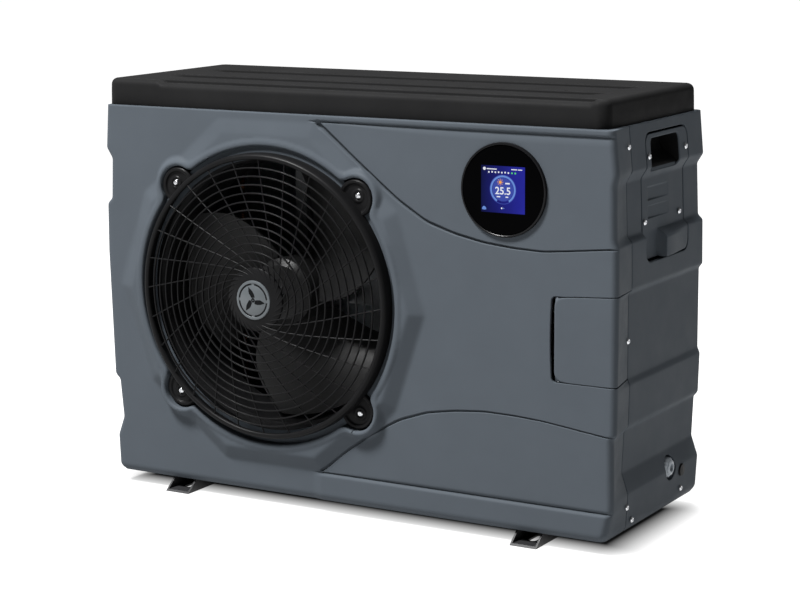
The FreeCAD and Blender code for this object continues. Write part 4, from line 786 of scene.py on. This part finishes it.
def build_cover():
    """Lid with a rounded shoulder. Each groove slopes down backwards to an upright wall."""
    left_x, right_x = COVER_X[0] + COVER_ROUND + 0.8, COVER_X[1] - COVER_ROUND - 0.8
    half_y = COVER_HALF_D - COVER_ROUND - 0.8
    rows = set(np.linspace(-half_y, half_y, 60).tolist())
    for wall, _, _ in COVER_GROOVES:
        rows |= {wall - before for before in (GROOVE_W, 12.0, 6.0, 3.0, 1.2, 0.8, 0.4, 0.0, -0.5)}
    columns = np.linspace(left_x, right_x, 221)
    grid_u, grid_v = np.meshgrid(columns, np.array(sorted(rows)))
    x, y, faces = clip_grid(grid_u, grid_v, lambda u, v: -round_rect(
        u, v, left_x, right_x, -half_y, half_y, COVER_CORNER_R - COVER_ROUND))
    sunk = np.zeros_like(x)
    for wall, left, right in COVER_GROOVES:
        share = (y - wall + GROOVE_W) / GROOVE_W
        slope = np.where((share > 0) & (share < 1), np.clip(share, 0, 1), 0) * soft_ramp((wall - y) / 0.8, 0.2)
        ends = soft_ramp((x - left + 14 * share) / 7.0) * soft_ramp((right + 14 * share - x) / 7.0)
        sunk += GROOVE_DEPTH * slope * ends
    points = np.stack([x, y, FOOT_H + CASE_H + COVER_H - sunk], -1)
    normal = np.tile([0.0, 0.0, 1.0], (len(x), 1))
    skirt = [(COVER_ROUND + out, deep) for out, deep in ((0.4, 22.0), (0.8, 42.8), (0.2, 43.8), (-6.0, 43.8))]
    shoulder = lip_rings(COVER_ROUND, 0, 8)[:-1] + skirt
    cover = turn_in(points, faces, normal, lambda x, y, z: shoulder)
    return make_mesh("cover_moulding", *cover, "cover_plastic")


# ---- fan guard, badge and display ---------------------------------------
GUARD_SPHERE_R = 1306.0
GUARD_FRONT_Y = -219.0
RING_RADII = [50.0 + 174.0 / 13 * i for i in range(14)]
RIB_COUNT = 28
RIB_START = 64.5 - 360.0 / RIB_COUNT * 5
RIB_TWIST = 3150.0                 # degrees times millimetres
EAR_SCREW_R = 247.0


def dome_y(radius):
    return GUARD_FRONT_Y + GUARD_SPHERE_R - math.sqrt(GUARD_SPHERE_R ** 2 - radius ** 2)


def rounded_loop(radius, along, across, deep, corner):
    """Closed (radius, along) profile of a bar with rounded corners."""
    loop = []
    for x_sign, y_sign, start in ((1, -1, -90), (1, 1, 0), (-1, 1, 90), (-1, -1, 180)):
        for step in range(3):
            angle = math.radians(start + 45 * step)
            loop.append((radius + x_sign * (across / 2 - corner) + corner * math.cos(angle),
                         along + y_sign * (deep / 2 - corner) + corner * math.sin(angle)))
    return loop


def build_guard():
    """Domed grille: rings, spiral ribs, hub and rim."""
    axis_foot = (FAN_X, 0, FAN_Z)
    parts = []
    for radius in RING_RADII[1:-1]:
        loop = rounded_loop(radius, dome_y(radius) + 1.6, 2.5, 3.6, 0.9)
        parts.append(lathe(loop, axis_foot, (0, 1, 0), 144, closed=True))
    radii = np.linspace(40.0, 226.0, 44)
    for rib in range(RIB_COUNT):
        path = []
        for radius in radii:
            angle = math.radians(360.0 * rib / RIB_COUNT + RIB_START - RIB_TWIST * (1 / radius - 1 / 223.0))
            path.append((FAN_X + radius * math.cos(angle), dome_y(radius) + 1.9,
                         FAN_Z + radius * math.sin(angle)))
        parts.append(sweep(path, 2.1, 3.0, 0.4, np.array([0.0, -1.0, 0.0])))
    hub = [(0, -219.4), (35.0, -219.4), (37.0, -218.9), (44.0, -217.2), (50.5, -216.4), (52.0, -215.2),
           (52.0, -212.0), (0, -212.0)]
    parts.append(lathe(hub, axis_foot, (0, 1, 0), 144))
    rim = [(223.4, -194.5), (223.4, -198.6), (225.6, -200.8), (229.0, -200.6), (231.9, -198.4),
           (233.2, -193.0), (233.4, -178.0), (230.0, -178.0), (229.6, -190.0), (227.6, -194.5)]
    parts.append(lathe(rim, axis_foot, (0, 1, 0), 224, closed=True))
    return make_mesh("guard_grille", *weld(parts), "black_plastic", flat_angle=50)


def build_ears():
    """Screw tabs of the guard, one in each pocket of the front shell."""
    parts = []
    profile = [(0, -181.0), (6.0, -181.0), (7.0, -182.4), (10.0, -182.4), (11.5, -181.0), (23.0, -180.6),
               (25.0, -183.4), (28.6, -183.8), (30.4, -182.0), (30.4, -177.0)]
    along, heights = zip(*[(i, y) for i, (_, y) in enumerate(profile)])
    for angle in EAR_ANGLES:
        x0 = FAN_X + EAR_SCREW_R * math.cos(math.radians(angle))
        z0 = FAN_Z + EAR_SCREW_R * math.sin(math.radians(angle))
        x1 = FAN_X + EAR_R * math.cos(math.radians(angle))
        z1 = FAN_Z + EAR_R * math.sin(math.radians(angle))
        grid_u, grid_v = np.meshgrid(np.linspace(0.0, len(profile) - 1, 4 * len(profile) - 3),
                                     np.linspace(0, 2 * math.pi, 73))

        def place(u, v):
            radius = np.interp(u, along, [r for r, _ in profile])
            shift = np.clip((radius - 11.5) / 12.0, 0, 1)
            return (x0 + (x1 - x0) * shift + radius * np.cos(v), np.interp(u, along, heights),
                    z0 + (z1 - z0) * shift + radius * np.sin(v))

        def keep(u, v):
            x, _, z = place(u, v)
            return np.hypot(x - FAN_X, z - FAN_Z) - 231.8

        u, v, faces = clip_grid(grid_u, grid_v, keep)
        parts.append((np.stack(place(u, v), -1), [face[::-1] for face in faces]))
    return make_mesh("guard_ears", *weld(parts), "black_plastic")


def flat_shape(outline, y, thick, centre=(0.0, 0.0)):
    """Thin plate with the given (x, z) outline, its front at y."""
    count = len(outline)
    points = [(centre[0] + x, y, centre[1] + z) for x, z in outline]
    points += [(centre[0] + x, y + thick, centre[1] + z) for x, z in outline]
    faces = [tuple(range(count)), tuple(range(2 * count - 1, count - 1, -1))]
    faces += [(i, i + count, (i + 1) % count + count, (i + 1) % count) for i in range(count)]
    return points, faces


def arc_band(inner, outer, start, end, steps=24):
    angles = np.radians(np.linspace(start, end, steps))
    return [(outer * math.cos(a), outer * math.sin(a)) for a in angles] + \
           [(inner * math.cos(a), inner * math.sin(a)) for a in angles[::-1]]


def rotor_blade(turn, size):
    """Outline of one blade of a three-bladed rotor, used as a plain pictogram."""
    front = [(size * t, 0.95 * size * t * (1 - 0.55 * t) * math.sin(math.pi * min(1, t + 0.25) * 0.62))
             for t in np.linspace(0.18, 1.0, 14)]
    rear = [(x * 0.96, y - 0.42 * size * math.sin(math.pi * x / size) ** 0.8) for x, y in front[::-1]]
    c, s = math.cos(turn), math.sin(turn)
    return [(x * c - y * s, x * s + y * c) for x, y in front + rear[1:-1]]


def build_badge():
    """Round cap with a three-bladed rotor inside a broken ring."""
    foot = (FAN_X, 0, FAN_Z)
    cap = [(0, -221.3), (24.6, -221.3), (25.2, -220.8), (27.0, -220.8), (27.6, -221.5), (30.4, -221.5),
           (31.6, -220.9), (32.0, -219.9), (32.0, -218.6), (0, -218.6)]
    item = make_mesh("badge_cap", *lathe(cap, foot, (0, 1, 0), 128), "badge_plastic", flat_angle=40)
    middle = (FAN_X, FAN_Z)
    marks = [flat_shape(arc_band(24.6, 27.2, 6 + 90 * i, 84 + 90 * i), -221.35, 0.8, middle) for i in range(4)]
    marks += [flat_shape(rotor_blade(math.radians(90 + 120 * i), 21.0), -221.7, 0.8, middle) for i in range(3)]
    marks.append(flat_shape(arc_band(1.2, 3.4, 0, 355, 40), -221.7, 0.8, middle))
    make_mesh("badge_marks", *weld(marks), "badge_ink", smooth=False, slot="badge_plastic")
    return item


def build_display():
    centre = (DISPLAY[0], 0, FOOT_H + DISPLAY[1])
    bezel = [(68.9, -177.4), (69.0, -180.5), (69.6, -180.95), (71.3, -180.7), (72.2, -179.6), (72.4, -178.0),
             (72.4, -175.0), (62.0, -175.0), (62.0, -177.4)]
    ring = make_mesh("display_ring", *lathe(bezel, centre, (0, 1, 0), 144, closed=True), "bezel_gloss",
                     slot="black_plastic", flat_angle=40)
    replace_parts(ring, "display_bezel")
    disc = [(0, -180.0), (66.5, -180.0), (68.0, -179.85), (68.7, -179.4), (68.8, -177.2), (0, -177.2)]
    glass = make_mesh("display_disc", *lathe(disc, centre, (0, 1, 0), 144), "display_glass", flat_angle=40)
    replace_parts(glass, "display_glass")


def build_screen():
    """The lit picture on the display: a gauge with a reading, and small plain marks instead of words."""
    centre = (DISPLAY[0], FOOT_H + DISPLAY[1] + 1.0)
    face = -180.0

    def lit(name, shapes, material, lift):
        plates = [flat_shape(shape, face - lift, 0.04, centre) for shape in shapes]
        return make_mesh(name, *weld(plates), material, smooth=False, slot="screen")

    def bar(x, z, w, h):
        return [(x, z), (x + w, z), (x + w, z + h), (x, z + h)]

    def dot(x, z, r):
        return [(x + r * math.cos(a), z + r * math.sin(a)) for a in np.linspace(0, 2 * math.pi, 20)[:-1]]

    panel = lit("screen_panel", [bar(-SCREEN_W / 2, -35.5, SCREEN_W, 71)], "screen_blue", 0.04)
    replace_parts(panel, "display_screen")
    lit("screen_gauge", [arc_band(18.6, 21.4, -60, 240, 60)], "screen_ring", 0.12)
    lit("screen_dial", [arc_band(21.4, 22.4, 0, 359.9, 60), dot(0, 0, 18.0)], "screen_dial", 0.08)
    white = [dot(-31.5, 30.5, 2.4), bar(-27.5, 29.6, 17, 1.5), bar(14, 30.4, 10, 1.4), bar(25.5, 30.4, 7, 1.4)]
    white += [bar(x, 24.4 + 0.4 * (i % 2), 2.4, 2.4) for i, x in enumerate(np.linspace(-25, 8, 7))]
    white += [bar(4, 8.4, 7.5, 2.2), bar(-10.5, -12.0, 6.0, 1.8), bar(4.5, -12.0, 4.5, 1.8)]
    white.append(dot(-2.0, -28.4, 1.3))
    lit("screen_marks", white, "screen_white", 0.16)
    lit("screen_green", [bar(14.0, 24.4, 2.6, 2.4), bar(19.5, 24.4, 2.6, 2.4)], "screen_green", 0.16)
    rays = [bar(-5.2 + 4.4 * math.cos(a), 10.6 + 4.4 * math.sin(a), 1.2, 1.2)
            for a in np.linspace(0, 2 * math.pi, 9)[:-1]]
    lit("screen_sun", [dot(-4.5, 11.0, 2.6)] + rays, "screen_orange", 0.16)
    lit("screen_cloud", [dot(-32.0, -29.5, 2.8), bar(-35.4, -31.8, 7.0, 2.6), dot(1.5, -28.4, 0.9),
                         arc_band(2.1, 2.9, 0, 350, 24)], "screen_ring", 0.16)
    text = bpy.data.curves.new("reading", "FONT")
    text.body = "25.5"
    text.size = 15.5 * MM
    text.extrude = 0.02 * MM
    text.offset = 0.25 * MM
    text.align_x = "CENTER"
    text.align_y = "CENTER"
    shape = add_object("reading", text)
    bpy.context.view_layer.update()
    mesh = bpy.data.meshes.new_from_object(shape)
    bpy.data.objects.remove(shape)
    mesh.transform(Matrix.Translation((centre[0] * MM, (face - 0.22) * MM, (centre[1] - 2.5) * MM))
                   @ Matrix.Rotation(math.pi / 2, 4, "X"))
    mesh.materials.clear()
    mesh.materials.append(MATERIALS["screen_white"])
    item = add_object("screen_reading", mesh)
    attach(item, "cabinet")


# ---- cable gland and coil -----------------------------------------------
def build_gland():
    """Nut with a coarse knurl round its skirt and over its shoulder."""
    def knurl(angle, radius):
        return radius + 1.1 * (abs(math.sin(angle * 7)) - 0.6) * np.clip((radius - 10.0) / 5.0, 0, 1)

    profile = [(9.9, 448.2), (15.4, 448.2), (16.2, 449.0), (16.2, 456.5), (15.6, 458.6), (13.6, 460.4),
               (12.4, 460.9), (11.8, 462.6), (9.6, 463.6), (7.0, 463.8), (6.2, 463.2), (6.0, 458.0)]
    shape = lathe(profile, (0, GLAND[0], FOOT_H + GLAND[1]), (1, 0, 0), 180, ripple=knurl)
    return make_mesh("gland_cap", *shape, "gland_grey", flat_angle=40)


def build_fins():
    """Thin upright plates, each folded in a zigzag across the coil's depth."""
    first, last, front, back, bottom, top = -384.4, 110.0, 122.0, 160.0, 56.0, 620.0
    fold, half_thick = 1.4, 0.14
    depths = np.linspace(front, back, 9)
    bends = fold * (np.arange(len(depths)) % 2)
    plates = []
    for x in np.linspace(first, last, 228):
        outline = [(x + bend - half_thick, y) for bend, y in zip(bends, depths)]
        outline += [(x + bend + half_thick, y) for bend, y in zip(bends[::-1], depths[::-1])]
        count = len(outline)
        points = [(a, b, z) for z in (bottom, (bottom + top) / 2, top) for a, b in outline]
        faces = [(row + i, row + (i + 1) % count, row + (i + 1) % count + count, row + i + count)
                 for row in (0, count) for i in range(count)]
        for low, turn in ((0, -1), (2 * count, 1)):
            faces += [(low + i, low + i + 1, low + count - 2 - i, low + count - 1 - i)[::turn]
                      for i in range(len(depths) - 1)]
        plates.append((points, faces))
    return make_mesh("coil_fins", *weld(plates), "fin_aluminium", smooth=False)


# ---- camera, floor and lights -------------------------------------------
WORLD_STRENGTH = 0.12
CAMERA_AZ = math.radians(30.327)   # towards the right side, from straight in front
CAMERA_EL = math.radians(10.536)
CAMERA_ROLL = math.radians(-0.4155)
CAMERA_DISTANCE = 3641.0
CAMERA_TARGET = (0.12, 0.0, 326.71)
SENSOR_WIDTH = 36.0
LENS = 98.989
PAINTED_SHADOW_EXTENT = (0.43, 0.112, 0.0)    # half extents in metres of the floor's part that doesn't glow: painted contact shadow
PAINTED_SHADOW_RAMP = 0.065                  # metres over which the glow rises to full: the painted shadow's soft edge


def add_camera():
    back = Vector((math.sin(CAMERA_AZ) * math.cos(CAMERA_EL), -math.cos(CAMERA_AZ) * math.cos(CAMERA_EL),
                   math.sin(CAMERA_EL)))
    data = bpy.data.cameras.new("camera")
    data.sensor_width = SENSOR_WIDTH
    data.lens = LENS
    data.clip_end = 60.0
    camera = add_object("camera", data)
    camera.location = (Vector(CAMERA_TARGET) + back * CAMERA_DISTANCE) * MM
    turn = (-back).to_track_quat("-Z", "Y").to_matrix().to_4x4()
    camera.rotation_euler = (turn @ Matrix.Rotation(CAMERA_ROLL, 4, "Z")).to_euler()
    bpy.context.scene.camera = camera


def add_area(name, place, target, size, power):
    data = bpy.data.lights.new(name, "AREA")
    data.shape = "RECTANGLE"
    data.size, data.size_y = size
    data.energy = power
    lamp = add_object(name, data)
    lamp.location = place
    lamp.rotation_euler = (Vector(target) - Vector(place)).to_track_quat("-Z", "Y").to_euler()


def add_stage():
    """White floor with a painted shadow: it doesn't glow over the object's footprint and glows fully a few
    centimetres outside it, which paints a contact shadow round the object and keeps the floor white further
    out, over its cast shadow.
    """
    reach = 60.0
    mesh = bpy.data.meshes.new("floor")
    mesh.from_pydata([(-reach, -reach, 0), (reach, -reach, 0), (reach, reach, 0), (-reach, reach, 0)], [],
                     [(0, 1, 2, 3)])
    floor = add_object("floor", mesh)
    tree, shader = new_nodes("floor")
    set_inputs(shader, {"Base Color": (0.15, 0.15, 0.15, 1), "Roughness": 0.9, "Specular IOR Level": 0.0,
                        "Emission Color": (1, 1, 1, 1)})
    coords = tree.nodes.new("ShaderNodeTexCoord")
    source = coords.outputs["Object"]
    steps = (("ABSOLUTE", None), ("SUBTRACT", PAINTED_SHADOW_EXTENT), ("MAXIMUM", (0, 0, 0)), ("LENGTH", None))
    for operation, value in steps:
        step = tree.nodes.new("ShaderNodeVectorMath")
        step.operation = operation
        tree.links.new(source, step.inputs[0])
        if value:
            step.inputs[1].default_value = value
        source = step.outputs["Value" if operation == "LENGTH" else "Vector"]
    # Emission rises from nothing at the footprint's edge to full: painted shadow round the object, painted
    # light over its cast shadow
    tree.links.new(ramp(tree, source, 0.0, 1.0, 0.0, PAINTED_SHADOW_RAMP), shader.inputs["Emission Strength"])
    mesh.materials.append(MATERIALS["floor"])
    world = bpy.data.worlds.new("studio")
    world.use_nodes = True
    set_inputs(world.node_tree.nodes["Background"], {"Color": (1, 1, 1, 1), "Strength": WORLD_STRENGTH})
    bpy.context.scene.world = world
    bpy.context.scene.view_settings.view_transform = "Standard"
    middle = (0.0, 0.0, 0.35)
    add_area("key", (-1.6, -2.6, 5.2), middle, (1.4, 1.2), 980.0)
    add_area("top", (0.0, 1.3, 4.4), middle, (1.4, 1.0), 180.0)


def finish_nodes():
    """Give every CAD node that still shows the finish of its slot."""
    for entry in frame["record"]["subparts"]:
        item = nodes[entry["node"]]
        item.data.materials.clear()
        item.data.materials.append(MATERIALS[entry["material_slot"]])


add_camera()
add_stage()
finish_nodes()
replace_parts(build_front(), "front_panel")
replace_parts(build_door(), "access_door")
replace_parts(build_side(1), "right_side_panel")
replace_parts(build_side(-1), "left_side_panel")
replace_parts(build_handle(), "handle_cover")
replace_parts(build_cover(), "top_cover")
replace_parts(build_guard(), "fan_guard")
build_ears()
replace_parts(build_badge(), "guard_badge")
build_display()
build_screen()
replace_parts(build_gland(), "gland_dome_nut")
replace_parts(build_fins(), "evaporator_fins")
